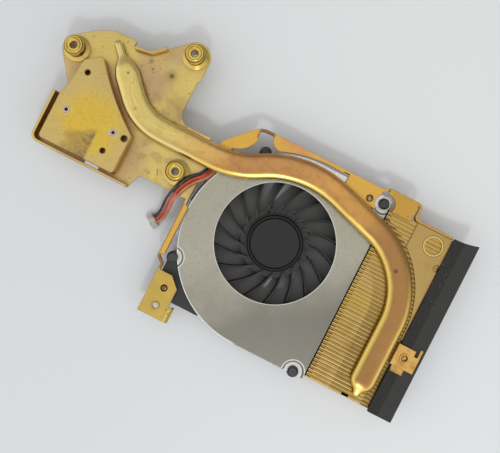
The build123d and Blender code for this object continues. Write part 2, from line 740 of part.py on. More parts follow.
# Heat pipe: a flattened tube on the plate and fins, rounded off to a pinched tail and a short beak
PIPE_Z = SHEET_TOP + PIPE_T / 2
PIPE_END = (PIPE_BEND_4[0], PIPE_END_Y)
with BuildPart() as heat_pipe:
    with BuildLine() as pipe_line:
        FilletPolyline(
            *((x, y, PIPE_Z) for x, y in (PIPE_START, PIPE_BEND_1, PIPE_BEND_2)),
            *((x, y, PIPE_Z) for x, y in (PIPE_BEND_3, PIPE_BEND_4, PIPE_END)),
            radius=PIPE_RADII,
        )
    ALONG = (pipe_line.line % 0).normalized()
    TAIL_PLANE = Plane(
        origin=pipe_line.line @ 0, x_dir=ALONG.cross(Vector(0, 0, 1)), z_dir=-ALONG
    )
    TIP_PLANE = Plane(origin=(*PIPE_END, PIPE_Z), x_dir=(1, 0, 0), z_dir=(0, -1, 0))
    with BuildSketch(TAIL_PLANE) as pipe_section:
        SlotOverall(PIPE_W, PIPE_T)
    sweep(path=pipe_line.line)
    with BuildSketch(TAIL_PLANE) as shoulder_wide:
        SlotOverall(PIPE_W, PIPE_T)
    with BuildSketch(TAIL_PLANE.offset(PIPE_SHOULDER_L / 2)) as shoulder_half:
        SlotOverall(PIPE_SHOULDER_W, PIPE_SHOULDER_T)
    with BuildSketch(TAIL_PLANE.offset(PIPE_SHOULDER_L)) as shoulder_narrow:
        SlotOverall(PIPE_TAIL_W, PIPE_TAIL_T)
    loft()
    with BuildSketch(TAIL_PLANE.offset(PIPE_SHOULDER_L)) as tail_section:
        SlotOverall(PIPE_TAIL_W, PIPE_TAIL_T)
    extrude(amount=PIPE_TAIL_L)
    with BuildSketch(TIP_PLANE) as tip_wide:
        SlotOverall(PIPE_W, PIPE_T)
    with BuildSketch(TIP_PLANE.offset(PIPE_ROUND_L / 2)) as tip_half:
        SlotOverall(PIPE_ROUND_W, PIPE_SHOULDER_T)
    with BuildSketch(TIP_PLANE.offset(PIPE_ROUND_L)) as tip_narrow:
        SlotOverall(PIPE_BEAK_W, PIPE_BEAK_T)
    loft()
    with BuildSketch(TIP_PLANE.offset(PIPE_ROUND_L)) as beak_section:
        SlotOverall(PIPE_BEAK_W, PIPE_BEAK_T)
    extrude(amount=PIPE_BEAK_L)
heat_pipe.part.label = "heat_pipe"
export_step(heat_pipe.part, "parts/heat_pipe.step")

# Fin stack: folded fins side by side, seamed on top, slit at the fan end, notched at one side
with BuildPart() as fin_stack:
    with BuildSketch(Plane.YZ.offset(FIN_X)) as fin_section:
        span(FIN_LOW, FIN_HIGH, 0, SHEET_TOP)
        with Locations(((FIN_LOW + FIN_HIGH) / 2, SHEET_TOP / 2)):
            with GridLocations(FIN_PITCH, 0, FIN_COUNT, 1):
                Rectangle(
                    FIN_PITCH - FIN_T, SHEET_TOP - 2 * FIN_FOLD_T, mode=Mode.SUBTRACT
                )
        with Locations(((FIN_LOW + FIN_HIGH) / 2, SHEET_TOP - FIN_SEAM_D / 2)):
            with GridLocations(FIN_PITCH, 0, FIN_COUNT - 1, 1):
                Rectangle(FIN_SEAM_W, FIN_SEAM_D, mode=Mode.SUBTRACT)
    extrude(amount=FIN_LENGTH)
    with BuildSketch(Plane.XY.offset(SHEET_TOP)) as fin_slits:
        with Locations((FIN_X + FIN_SLIT_L / 2, (FIN_LOW + FIN_HIGH) / 2)):
            with GridLocations(0, FIN_PITCH, 1, FIN_COUNT):
                Rectangle(FIN_SLIT_L, FIN_SLIT_W)
        span(FIN_NOTCH_X, FIN_NOTCH_X + FIN_NOTCH_L, FIN_LOW, FIN_LOW + FIN_NOTCH_W)
    extrude(amount=-FIN_FOLD_T, mode=Mode.SUBTRACT)
fin_stack.part.label = "fin_stack"
export_step(fin_stack.part, "parts/fin_stack.step")

# Top plate soldered on the fins beside the pipe's last bend
LAST_RUN = Vector(*PIPE_BEND_4) - Vector(*PIPE_BEND_3)
LAST_TURN = radians(90) + atan2(LAST_RUN.Y, LAST_RUN.X)
LAST_R = PIPE_RADII[3]
BEND_X = PIPE_BEND_4[0] - LAST_R
BEND_Y = PIPE_BEND_4[1] - LAST_R * tan(LAST_TURN / 2)
BEND_EDGE = LAST_R + PIPE_W / 2 + PLATE_GAP
with BuildPart() as fin_top_plate:
    with BuildSketch(Plane.XY.offset(SHEET_TOP)) as plate_outline:
        span(PLATE_LEFT, FIN_END, PLATE_TAIL_Y, FIN_HIGH)
        span(BEND_X + BEND_EDGE + PLATE_STEP, FIN_END, FIN_LOW, PLATE_TAIL_Y)
        with Locations((BEND_X, BEND_Y)):
            Circle(BEND_EDGE, mode=Mode.SUBTRACT)
            Rectangle(BEND_EDGE, BEND_EDGE, align=(Align.MIN, Align.MAX), mode=Mode.SUBTRACT)
        with Locations(WINDOW):
            Circle(WINDOW_R, mode=Mode.SUBTRACT)
        with Locations(VENT):
            Circle(VENT_R, mode=Mode.SUBTRACT)
    extrude(amount=PLATE_T)
fin_top_plate.part.label = "fin_top_plate"
export_step(fin_top_plate.part, "parts/fin_top_plate.step")

# Foam gasket along the exhaust edge, flared at its top corner
GASKET_Z = SHEET_TOP + PLATE_T
GASKET_END = GASKET_X + GASKET_W
GASKET_LOW = FIN_LOW - GASKET_OVER
GASKET_HIGH = FIN_HIGH + GASKET_OVER
with BuildPart() as exhaust_gasket:
    with BuildSketch(Plane.XY.offset(GASKET_Z)) as gasket_outline:
        with BuildLine():
            Polyline(
                (GASKET_X, GASKET_HIGH),
                (GASKET_X, GASKET_LOW),
                (GASKET_END, GASKET_LOW),
                (GASKET_END, GASKET_HIGH + GASKET_FLARE),
            )
            SagittaArc((GASKET_END, GASKET_HIGH + GASKET_FLARE), (GASKET_X, GASKET_HIGH), GASKET_SAG)
        make_face()
        fillet(gasket_outline.vertices(), GASKET_CORNER_R)
    extrude(amount=GASKET_T)
exhaust_gasket.part.label = "exhaust_gasket"
export_step(exhaust_gasket.part, "parts/exhaust_gasket.step")

# Clip over the gasket: leg on the fins, raised screw boss, slotted finger and a low tongue
CLIP_Z = GASKET_Z + GASKET_T
CLIP_TOP = CLIP_Z + CLIP_T
CLIP_X = GASKET_X - GAP - CLIP_T
CLIP_END = CLIP_X + CLIP_REACH
FINGER_X = CLIP_END - CLIP_FINGER_W
TONGUE_X = CLIP_X + CLIP_TONGUE_X
TONGUE_Y = CLIP_LOW_Y - CLIP_TONGUE_L
with BuildPart() as outlet_clip:
    with BuildSketch(Plane.XZ.offset(-CLIP_TOP_Y)) as clip_section:
        span(CLIP_X, CLIP_X + CLIP_T, SHEET_TOP, CLIP_TOP)
        span(CLIP_X, CLIP_END, CLIP_Z, CLIP_TOP)
    extrude(amount=CLIP_TOP_Y - CLIP_LOW_Y)
    with BuildSketch(Plane.XY.offset(CLIP_Z)) as clip_finger:
        span(FINGER_X, CLIP_END, CLIP_TOP_Y, CLIP_TOP_Y + CLIP_FINGER_UP)
    extrude(amount=CLIP_T)
    with BuildSketch(Plane.XY.offset(CLIP_Z)) as clip_slot:
        span(FINGER_X - CLIP_SLOT_W, FINGER_X, CLIP_TOP_Y - CLIP_SLOT_L, CLIP_TOP_Y)
    extrude(amount=CLIP_T, mode=Mode.SUBTRACT)
    with BuildSketch(Plane.XY.offset(CLIP_Z)) as clip_tongue:
        span(TONGUE_X, TONGUE_X + CLIP_TONGUE_W, TONGUE_Y, CLIP_LOW_Y)
    extrude(amount=CLIP_TONGUE_T)
    with BuildSketch(Plane.XY.offset(CLIP_Z)) as tongue_lip:
        span(TONGUE_X, TONGUE_X + CLIP_TONGUE_W, TONGUE_Y, TONGUE_Y + CLIP_TONGUE_LIP)
    extrude(amount=CLIP_T)
    with BuildSketch(Plane.XY.offset(CLIP_TOP)) as clip_boss:
        with Locations(CLIP_SCREW):
            Circle(CLIP_BOSS_R)
    extrude(amount=CLIP_BOSS_H)
    with Locations((*CLIP_SCREW, CLIP_TOP + CLIP_BOSS_H)):
        Hole(CLIP_BORE_R, CLIP_BOSS_H + CLIP_T)
outlet_clip.part.label = "outlet_clip"
export_step(outlet_clip.part, "parts/outlet_clip.step")

# Fan housing: floor, scroll wall, ear, posts with heat stakes, bearing tube and wire guide
HEAD_Z = PAD_Z + COVER_T
TUBE_BORE = BEARING_R + FIT
TUBE_R = TUBE_BORE + TUBE_T
SCREW_SEAT = SCREW_SINK + SCREW_HEAD_H
GUIDE_PLANE = along_table(GUIDE_PLACE, GUIDE_AXIS).offset(GUIDE_Z)
GUIDE_IN = hypot(GUIDE_PLACE[0] - SCROLL_X, GUIDE_PLACE[1] - SCROLL_Y) - SCROLL_R + WALL_T
EAR_LEFT = BRACKET_LEFT + EAR_SET
with BuildPart() as fan_housing:
    with BuildSketch() as housing_floor:
        scroll_shape(HOUSING_INSET, OUTLET_X)
    extrude(amount=FLOOR_T)
    with BuildSketch() as housing_ear:
        with BuildLine():
            Polyline(
                (EAR_LEFT, EAR_TOP_Y),
                (EAR_LEFT, EAR_LOW),
                (EAR_RIGHT, EAR_LOW),
                EAR_ROOT,
                close=True,
            )
        make_face()
    extrude(amount=EAR_H)
    with BuildSketch() as posts:
        with Locations(*STAKE_PLACES):
            Circle(POST_R)
    extrude(amount=PAD_Z)
    with BuildSketch() as left_boss:
        with Locations(BRACKET_SCREW):
            Circle(BOSS_R)
    extrude(amount=SHEET_Z)
    with BuildSketch() as guide_rib:
        with BuildLine() as rib_line:
            CenterArc((SCROLL_X, SCROLL_Y), SCROLL_R - RIB_IN, RIB_START, RIB_SWEEP)
        trace(rib_line.line, line_width=RIB_W)
    extrude(amount=RIB_H)
    with BuildSketch(GUIDE_PLANE) as wire_guide:
        span(-GUIDE_L, WIRE_SEAT, -GUIDE_OUT, GUIDE_IN)
    extrude(amount=GUIDE_H)
    # The chamber is cleared after the pieces outside it, then its own posts go in
    with BuildSketch(Plane.XY.offset(FLOOR_T)) as chamber:
        scroll_shape(HOUSING_INSET, OUTLET_X)
        scroll_shape(HOUSING_INSET + WALL_T, OUTLET_X + GAP, Mode.SUBTRACT)
    extrude(amount=WALL_TOP - FLOOR_T)
    with BuildSketch(Plane.XY.offset(FLOOR_T)) as hollow:
        scroll_shape(HOUSING_INSET + WALL_T, OUTLET_X + GAP)
        with Locations(*STAKE_PLACES):
            Circle(POST_R, mode=Mode.SUBTRACT)
    extrude(amount=WALL_TOP - FLOOR_T, mode=Mode.SUBTRACT)
    with BuildSketch() as right_boss:
        with Locations(RIGHT_SCREW):
            Circle(BOSS_R)
    extrude(amount=WALL_TOP)
    with BuildSketch() as bearing_seat:
        Circle(SEAT_R)
    extrude(amount=SEAT_Z)
    with BuildSketch() as bearing_tube:
        Circle(TUBE_R)
    extrude(amount=FLOOR_T + TUBE_H)
    with Locations((0, 0, FLOOR_T + TUBE_H)):
        Hole(TUBE_BORE, TUBE_H)
    # Room for the cover's pads, then the stakes through them
    with BuildSketch(Plane.XY.offset(PAD_Z)) as pad_room:
        with Locations(*STAKE_PLACES):
            Circle(PAD_R + PAD_DROP + GAP)
    extrude(amount=WALL_TOP - PAD_Z, mode=Mode.SUBTRACT)
    with BuildSketch(Plane.XY.offset(PAD_Z)) as stake_stems:
        with Locations(*STAKE_PLACES):
            Circle(STAKE_R)
    extrude(amount=COVER_T)
    with BuildSketch(Plane.XY.offset(HEAD_Z)) as stake_heads:
        with Locations(*STAKE_PLACES):
            Circle(STAKE_HEAD_R)
    extrude(amount=STAKE_HEAD_H)
    chamfer(fan_housing.faces().group_by(Axis.Z)[-1].edges(), STAKE_EDGE)
    # Screw bores with counterbores from below
    with Locations((*BRACKET_SCREW, SHEET_Z), (*RIGHT_SCREW, SHEET_Z)):
        Hole(SCREW_R + FIT, SHEET_Z)
    with BuildSketch() as counterbores:
        with Locations(BRACKET_SCREW, RIGHT_SCREW):
            Circle(SCREW_HEAD_R + GAP)
    extrude(amount=SCREW_SEAT, mode=Mode.SUBTRACT)
fan_housing.part.label = "fan_housing"
export_step(fan_housing.part, "parts/fan_housing.step")

# Steel fan cover with its inlet, chamfered edges and dished stake pads
DISH_R = PAD_R + PAD_DROP
with BuildPart() as stake_dish:
    with BuildSketch(Plane.XZ) as dish_section:
        with BuildLine():
            Polyline(
                (STAKE_R + FIT, PAD_Z),
                (PAD_R, PAD_Z),
                (DISH_R, WALL_TOP),
                (DISH_R, SHEET_Z),
                (PAD_R, HEAD_Z),
                (STAKE_R + FIT, HEAD_Z),
                close=True,
            )
        make_face()
    revolve(axis=Axis.Z)
with BuildPart() as fan_cover:
    with BuildSketch(Plane.XY.offset(WALL_TOP)) as cover_outline:
        scroll_shape(0, OUTLET_X)
        Circle(INLET_R, mode=Mode.SUBTRACT)
    extrude(amount=COVER_T)
    chamfer(fan_cover.faces().sort_by(Axis.Z)[-1].edges(), COVER_EDGE)
    with BuildSketch(Plane.XY.offset(WALL_TOP)) as dish_holes:
        with Locations(*STAKE_PLACES):
            Circle(DISH_R)
        with Locations(RIGHT_SCREW):
            Circle(SCREW_R + GAP)
    extrude(amount=COVER_T, mode=Mode.SUBTRACT)
    with Locations(*STAKE_PLACES):
        add(stake_dish.part)
    with BuildSketch(Plane.XY.offset(PAD_Z)) as cover_limit:
        scroll_shape(0, OUTLET_X)
    extrude(amount=SHEET_Z - PAD_Z, mode=Mode.INTERSECT)
fan_cover.part.label = "fan_cover"
export_step(fan_cover.part, "parts/fan_cover.step")

# Impeller: capped hub with a flange that carries the blades
HUB_UNDER = HUB_TOP - HUB_CAP_T
HUB_IN = HUB_R - HUB_SKIRT_T
FLANGE_TOP = HUB_FLANGE_Z + HUB_FLANGE_T
with BuildSketch() as blade_shape:
    with BuildLine() as blade_line:
        ThreePointArc(
            (BLADE_IN, BLADE_OFFSET),
            ((BLADE_IN + BLADE_OUT) / 2, BLADE_OFFSET + BLADE_BOW),
            (BLADE_OUT, BLADE_OFFSET - BLADE_SWEEP),
        )
    trace(blade_line.line, line_width=BLADE_T)
with BuildPart() as impeller:
    with BuildSketch(Plane.XZ) as hub_section:
        with BuildLine():
            Polyline(
                (0, HUB_TOP),
                (HUB_GROOVE_R - HUB_GROOVE_W, HUB_TOP),
                (HUB_GROOVE_R, HUB_TOP - HUB_GROOVE_D),
                (HUB_GROOVE_R + HUB_GROOVE_W, HUB_TOP),
                (HUB_R - HUB_EDGE, HUB_TOP),
                (HUB_R, HUB_TOP - HUB_EDGE),
                (HUB_R, FLANGE_TOP),
                (HUB_FLANGE_R, FLANGE_TOP),
                (HUB_FLANGE_R, HUB_FLANGE_Z),
                (HUB_R, HUB_FLANGE_Z),
                (HUB_R, HUB_FOOT_Z),
                (HUB_IN, HUB_FOOT_Z),
                (HUB_IN, HUB_UNDER),
                (HUB_BOSS_R, HUB_UNDER),
                (HUB_BOSS_R, HUB_UNDER - HUB_BOSS_H),
                (SHAFT_R + PRESS, HUB_UNDER - HUB_BOSS_H),
                (SHAFT_R + PRESS, HUB_TOP - SHAFT_BLIND),
                (0, HUB_TOP - SHAFT_BLIND),
                close=True,
            )
        make_face()
    revolve(axis=Axis.Z)
    with BuildSketch(Plane.XY.offset(BLADE_Z)) as blades:
        with PolarLocations(0, BLADE_COUNT, start_angle=BLADE_PHASE):
            add(blade_shape.sketch)
    extrude(amount=BLADE_H)
    with PolarLocations(HUB_HOLE_OUT, 1, start_angle=HUB_HOLE_ANGLE):
        Cylinder(HUB_HOLE_R, HUB_TOP, align=(Align.CENTER, Align.CENTER, Align.MIN), mode=Mode.SUBTRACT)
impeller.part.label = "impeller"
export_step(impeller.part, "parts/impeller.step")

# Rotor yoke: a thin steel cup inside the hub
YOKE_R = HUB_IN - PRESS
with BuildPart() as rotor_yoke:
    with BuildSketch(Plane.XZ) as yoke_section:
        span(YOKE_R - YOKE_T, YOKE_R, HUB_FOOT_Z, HUB_UNDER)
        span(HUB_BOSS_R + GAP, YOKE_R, HUB_UNDER - YOKE_T, HUB_UNDER)
    revolve(axis=Axis.Z)
rotor_yoke.part.label = "rotor_yoke"
export_step(rotor_yoke.part, "parts/rotor_yoke.step")

# Ring magnet in the yoke
MAGNET_R = YOKE_R - YOKE_T - PRESS
with BuildPart() as rotor_magnet:
    with BuildSketch(Plane.XZ) as magnet_section:
        span(MAGNET_R - MAGNET_T, MAGNET_R, HUB_FOOT_Z + GAP, HUB_FOOT_Z + GAP + MAGNET_H)
    revolve(axis=Axis.Z)
rotor_magnet.part.label = "rotor_magnet"
export_step(rotor_magnet.part, "parts/rotor_magnet.step")

# Shaft pressed into the hub, standing on the thrust pad
PAD_TOP = FLOOR_T + THRUST_T
with BuildPart() as fan_shaft:
    with BuildSketch(Plane.XY.offset(PAD_TOP + SHAFT_FOOT_GAP)) as shaft_round:
        Circle(SHAFT_R)
    extrude(amount=HUB_TOP - SHAFT_BLIND - PRESS - PAD_TOP - SHAFT_FOOT_GAP)
fan_shaft.part.label = "fan_shaft"
export_step(fan_shaft.part, "parts/fan_shaft.step")

# Thrust pad and sintered bearing in the housing's tube
with BuildPart() as thrust_pad:
    with BuildSketch(Plane.XY.offset(FLOOR_T)) as pad_round:
        Circle(BEARING_R)
    extrude(amount=THRUST_T)
thrust_pad.part.label = "thrust_pad"
export_step(thrust_pad.part, "parts/thrust_pad.step")

with BuildPart() as bearing_sleeve:
    with BuildSketch(Plane.XY.offset(PAD_TOP)) as sleeve_ring:
        Circle(BEARING_R)
        Circle(SHAFT_R + RUNNING, mode=Mode.SUBTRACT)
    extrude(amount=BEARING_H)
bearing_sleeve.part.label = "bearing_sleeve"
export_step(bearing_sleeve.part, "parts/bearing_sleeve.step")

# Stator core: ring, poles and curved shoes
CORE_BORE = TUBE_R + FIT
CORE_RING_R = CORE_BORE + CORE_RING_T
SHOE_IN = CORE_R - SHOE_T
COIL_MID = (CORE_RING_R + SHOE_IN) / 2
with BuildPart() as stator_core:
    with BuildSketch(Plane.XY.offset(SEAT_Z)) as core_shape:
        Circle(CORE_R)
        Circle(SHOE_IN, mode=Mode.SUBTRACT)
        with PolarLocations(CORE_R, POLE_COUNT, start_angle=180 / POLE_COUNT):
            Rectangle(4 * SHOE_T, SHOE_GAP, mode=Mode.SUBTRACT)
        Circle(CORE_RING_R)
        with PolarLocations(COIL_MID, POLE_COUNT):
            Rectangle(SHOE_IN - CORE_RING_R + SHOE_T, POLE_W)
        Circle(CORE_BORE, mode=Mode.SUBTRACT)
    extrude(amount=CORE_H)
stator_core.part.label = "stator_core"
export_step(stator_core.part, "parts/stator_core.step")

# Copper coils, one round each pole
with BuildPart() as stator_coils:
    with BuildSketch(Plane.XY.offset(SEAT_Z - COIL_T)) as coil_blocks:
        with PolarLocations(COIL_MID, POLE_COUNT):
            Rectangle(COIL_L, POLE_W + 2 * COIL_T)
    extrude(amount=CORE_H + 2 * COIL_T)
    with BuildSketch(Plane.XY.offset(SEAT_Z - FIT)) as coil_bores:
        with PolarLocations(COIL_MID, POLE_COUNT):
            Rectangle(2 * COIL_L, POLE_W + 2 * FIT)
    extrude(amount=CORE_H + 2 * FIT, mode=Mode.SUBTRACT)
stator_coils.part.label = "stator_coils"
export_step(stator_coils.part, "parts/stator_coils.step")

# Motor board on the housing floor
with BuildPart() as motor_board:
    with BuildSketch(Plane.XY.offset(FLOOR_T)) as board_ring:
        Circle(BOARD_R)
        Circle(SEAT_R + GAP, mode=Mode.SUBTRACT)
    extrude(amount=BOARD_T)
motor_board.part.label = "motor_board"
export_step(motor_board.part, "parts/motor_board.step")

# Screws from below: the left tip stays inside the sheet, the right one stands proud
with BuildPart() as fan_screws:
    for place, tip in ((BRACKET_SCREW, -SCREW_TIP), (RIGHT_SCREW, SCREW_TIP)):
        with BuildSketch(Plane.XY.offset(SCREW_SINK)) as screw_head:
            with Locations(place):
                Circle(SCREW_HEAD_R)
        extrude(amount=SCREW_HEAD_H)
        with BuildSketch(Plane.XY.offset(SCREW_SEAT)) as screw_shank:
            with Locations(place):
                Circle(SCREW_R)
        extrude(amount=SHEET_TOP + tip - SCREW_SEAT)
        fillet(fan_screws.faces().sort_by(Axis.Z)[-1].edges(), SCREW_ROUND)
fan_screws.part.label = "fan_screws"
export_step(fan_screws.part, "parts/fan_screws.step")

# Three fan wires
for name, route in (("red", RED_ROUTE), ("black", BLACK_ROUTE), ("orange", ORANGE_ROUTE)):
    radii = bend_radii(route)
    with BuildPart() as wire:
        with BuildLine() as wire_line:
            FilletPolyline(*route, radius=radii)
        with BuildSketch(Plane(origin=wire_line.line @ 0, z_dir=wire_line.line % 0)) as wire_round:
            Circle(WIRE_D / 2)
        sweep(path=wire_line.line)
    print(name, "length", round(wire_line.wire().length, 1), "radii", [round(r, 1) for r in radii])
    wire.part.label = f"wire_{name}"
    export_step(wire.part, f"parts/wire_{name}.step")

# Plug at the end of the wires, lying on the table
PLUG_PLANE = along_table(PLUG_PLACE, PLUG_AXIS)
with BuildPart() as wire_connector:
    with BuildSketch(PLUG_PLANE) as plug_outline:
        span(-PLUG_BACK, PLUG_L, -PLUG_W / 2, PLUG_W / 2)
    extrude(amount=PLUG_H)
    chamfer(wire_connector.faces().sort_by(Axis.Z)[-1].edges(), PLUG_EDGE)
    with BuildSketch(PLUG_PLANE.offset(PLUG_H)) as plug_keys:
        with Locations(((PLUG_L - PLUG_BACK) / 2, 0)):
            with GridLocations(0, PLUG_W - 2 * PLUG_KEY_W, 1, 2):
                Rectangle(PLUG_L, PLUG_KEY_W)
    extrude(amount=PLUG_KEY_H)
wire_connector.part.label = "wire_connector"
export_step(wire_connector.part, "parts/wire_connector.step")
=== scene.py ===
from math import atan2, ceil, copysign, cos, radians, sin, tan, tau

import bmesh
import bpy
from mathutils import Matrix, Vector


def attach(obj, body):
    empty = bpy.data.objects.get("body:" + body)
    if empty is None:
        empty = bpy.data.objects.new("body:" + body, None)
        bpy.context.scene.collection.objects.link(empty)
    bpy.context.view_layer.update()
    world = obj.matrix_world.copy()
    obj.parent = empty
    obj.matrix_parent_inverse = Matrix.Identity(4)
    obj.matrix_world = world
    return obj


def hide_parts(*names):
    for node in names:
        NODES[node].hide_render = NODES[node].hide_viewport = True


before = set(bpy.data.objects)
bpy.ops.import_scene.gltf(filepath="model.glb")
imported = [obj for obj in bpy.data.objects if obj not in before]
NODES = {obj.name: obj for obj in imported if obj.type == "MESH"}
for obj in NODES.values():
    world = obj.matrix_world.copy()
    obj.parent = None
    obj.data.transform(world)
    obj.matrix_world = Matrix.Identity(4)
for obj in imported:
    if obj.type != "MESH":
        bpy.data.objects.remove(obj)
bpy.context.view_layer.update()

MM = 0.001
scene = bpy.context.scene
scene.view_settings.view_transform = "Standard"

# Camera: straight down on the part, turned so that X runs down to the right
CAMERA_AT = (-9.6 * MM, 1.2 * MM, 194 * MM)
CAMERA_TURN = radians(27)
CAMERA_LENS = 41.8
CAMERA_NEAR = 0.01
VIEW_RIGHT = (0.891, 0.454)
VIEW_DOWN = (0.454, -0.891)

# Wires: the routes of the part's source, in millimetres
WIRE_D = 0.9 * MM
WIRES = {
    "red": (
        (-25.9, 17.0, 5.6),
        (-27.5, 14.6, 6.2),
        (-28.9, 11.8, 7.6),
        (-29.8, 9.0, 9.9),
        (-33.1, 6.0, 10.0),
        (-35.2, 1.9, 9.8),
        (-36.2, -2.2, 9.6),
        (-36.7, -5.2, 6.4),
        (-37.0, -7.5, 3.2),
        (-37.9, -9.7, 1.5),
        (-39.2, -11.6, 1.2),
    ),
    "black": (
        (-26.8, 17.7, 5.6),
        (-28.5, 15.0, 6.1),
        (-29.95, 12.0, 7.6),
        (-30.9, 9.2, 10.0),
        (-34.0, 6.7, 10.5),
        (-36.2, 2.1, 10.6),
        (-37.3, -2.1, 10.0),
        (-37.8, -5.0, 6.8),
        (-38.1, -7.2, 3.5),
        (-38.9, -9.2, 1.6),
        (-40.1, -11.0, 1.2),
    ),
    "orange": (
        (-25.0, 16.3, 5.6),
        (-26.5, 14.1, 6.2),
        (-27.85, 11.5, 7.6),
        (-28.7, 8.7, 9.8),
        (-32.1, 5.4, 9.9),
        (-34.1, 1.6, 9.7),
        (-35.1, -2.4, 9.4),
        (-35.6, -5.4, 6.0),
        (-35.9, -7.8, 3.0),
        (-36.9, -10.2, 1.4),
        (-38.3, -12.2, 1.2),
    ),
}
WIRE_FACETS = 5
WIRE_STEPS = 10
WIRE_ORDER = 3

# Heat pipe: the part's own centre line, swept finely so that highlights run smoothly along its round edges.
# The rows of the two ends give a distance from the end, a width and a thickness.
PIPE_POINTS = ((-66.1, 26.6), (-55.8, 15.6), (-22.5, 15.6), (-2.2, 27.1), (44.2, 12.7), (44.2, -26.4))
PIPE_RADII = (17.0, 30.0, 33.0, 26.0)
PIPE_Z = 10.5
PIPE_SIZE = (8.0, 3.0)
PIPE_TAIL = ((0.0, 1.7, 1.1), (0.35, 2.5, 1.7), (5.2, 2.5, 1.7), (8.0, 6.4, 2.75))
PIPE_TAIL_L = 10.8
PIPE_TIP = ((0.0, 1.6, 1.0), (0.35, 2.4, 1.6), (1.6, 2.4, 1.6), (3.3, 6.6, 2.75))
PIPE_TIP_L = 5.0
PIPE_STEP = 0.5
PIPE_FACETS = 64
PIPE_CROWN = 2.6
PIPE_EASE = 0.5

# Rivet in the clip's hole: radius and height of each ring of its turned profile
RIVET_AT = (52.7, -13.8)
RIVET_PROFILE = ((0.28, 10.66), (0.42, 10.58), (0.60, 10.76), (0.72, 10.70), (0.74, 10.24))
RIVET_FACETS = 32


def link(name, data):
    """A new object in the scene."""
    made = bpy.data.objects.new(name, data)
    scene.collection.objects.link(made)
    return made


def make_camera():
    data = bpy.data.cameras.new("camera")
    data.lens = CAMERA_LENS
    data.clip_start = CAMERA_NEAR
    camera = link("camera", data)
    camera.location = CAMERA_AT
    camera.rotation_euler = (0, 0, CAMERA_TURN)
    scene.camera = camera


def make_wire(colour, route):
    """One wire as a smooth spline through the neighbourhood of its route's points."""
    curve = bpy.data.curves.new(f"fan_wire_{colour}", "CURVE")
    curve.dimensions = "3D"
    # The points carry the tube's radius, because a curve's box grows by it whatever the bevel is
    curve.bevel_depth = 1
    curve.bevel_resolution = WIRE_FACETS
    curve.resolution_u = WIRE_STEPS
    curve.use_fill_caps = True
    spline = curve.splines.new("NURBS")
    spline.points.add(len(route) - 1)
    for point, place in zip(spline.points, route):
        point.co = (*(value * MM for value in place), 1)
        point.radius = WIRE_D / 2
    spline.order_u = WIRE_ORDER
    spline.use_endpoint_u = True
    wire = link(f"fan_wire_{colour}", curve)
    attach(wire, "frame")
    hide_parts(f"wire_{colour}")


def skin(name, rings):
    """A closed piece through rings of points in millimetres, smooth along its sides."""
    builder = bmesh.new()
    rings = [[builder.verts.new(Vector(point) * MM) for point in ring] for ring in rings]
    for ring, after in zip(rings, rings[1:]):
        for k in range(len(ring)):
            far = (k + 1) % len(ring)
            builder.faces.new((ring[k], after[k], after[far], ring[far])).smooth = True
    builder.faces.new(rings[0])
    builder.faces.new(reversed(rings[-1]))
    bmesh.ops.recalc_face_normals(builder, faces=builder.faces)
    mesh = bpy.data.meshes.new(name)
    builder.to_mesh(mesh)
    builder.free()
    return link(name, mesh)


def rounded_path(points, radii):
    """Places and headings along straight runs joined by tangent arcs, about a step apart."""
    points = [Vector(point) for point in points]
    samples = []
    start = points[0]

    def add_run(end):
        run = end - start
        count = ceil(run.length / PIPE_STEP)
        samples.extend((start + run * (k / count), run.normalized()) for k in range(count))

    for corner, after, radius in zip(points[1:], points[2:], radii):
        ahead = (corner - start).normalized()
        leave = (after - corner).normalized()
        turn = atan2(ahead.x * leave.y - ahead.y * leave.x, ahead.dot(leave))
        entry = corner - ahead * radius * tan(abs(turn) / 2)
        add_run(entry)
        side = copysign(1, turn)
        middle = entry + Vector((-ahead.y, ahead.x)) * side * radius
        count = ceil(abs(turn) * radius / PIPE_STEP)
        for k in range(count):
            angle = atan2(ahead.y, ahead.x) + turn * k / count
            heading = Vector((cos(angle), sin(angle)))
            samples.append((middle - Vector((-heading.y, heading.x)) * side * radius, heading))
        start = middle - Vector((-leave.y, leave.x)) * side * radius
    add_run(points[-1])
    samples.append((points[-1], (points[-1] - start).normalized()))
    return samples


def pipe_size(from_tail, from_tip):
    """Width and thickness of the pipe at its distances from the two ends."""
    for distance, keys, length in ((from_tail, PIPE_TAIL, PIPE_TAIL_L), (from_tip, PIPE_TIP, PIPE_TIP_L)):
        if distance < length:
            keys = (*keys, (length, *PIPE_SIZE))
            for low, high in zip(keys, keys[1:]):
                if distance <= high[0]:
                    share = max(0, (distance - low[0]) / (high[0] - low[0]))
                    return [a + (b - a) * share for a, b in zip(low[1:], high[1:])]
    return list(PIPE_SIZE)


def pipe_ring(place, heading, width, thick):
    """Flattened round section across the pipe, a little crowned."""
    across = Vector((-heading.y, heading.x))
    ring = []
    for k in range(PIPE_FACETS):
        angle = tau * k / PIPE_FACETS
        reach, rise = (copysign(abs(part) ** (2 / PIPE_CROWN), part) for part in (cos(angle), sin(angle)))
        flat = place + across * reach * width / 2
        ring.append((flat.x, flat.y, PIPE_Z + rise * thick / 2))
    return ring


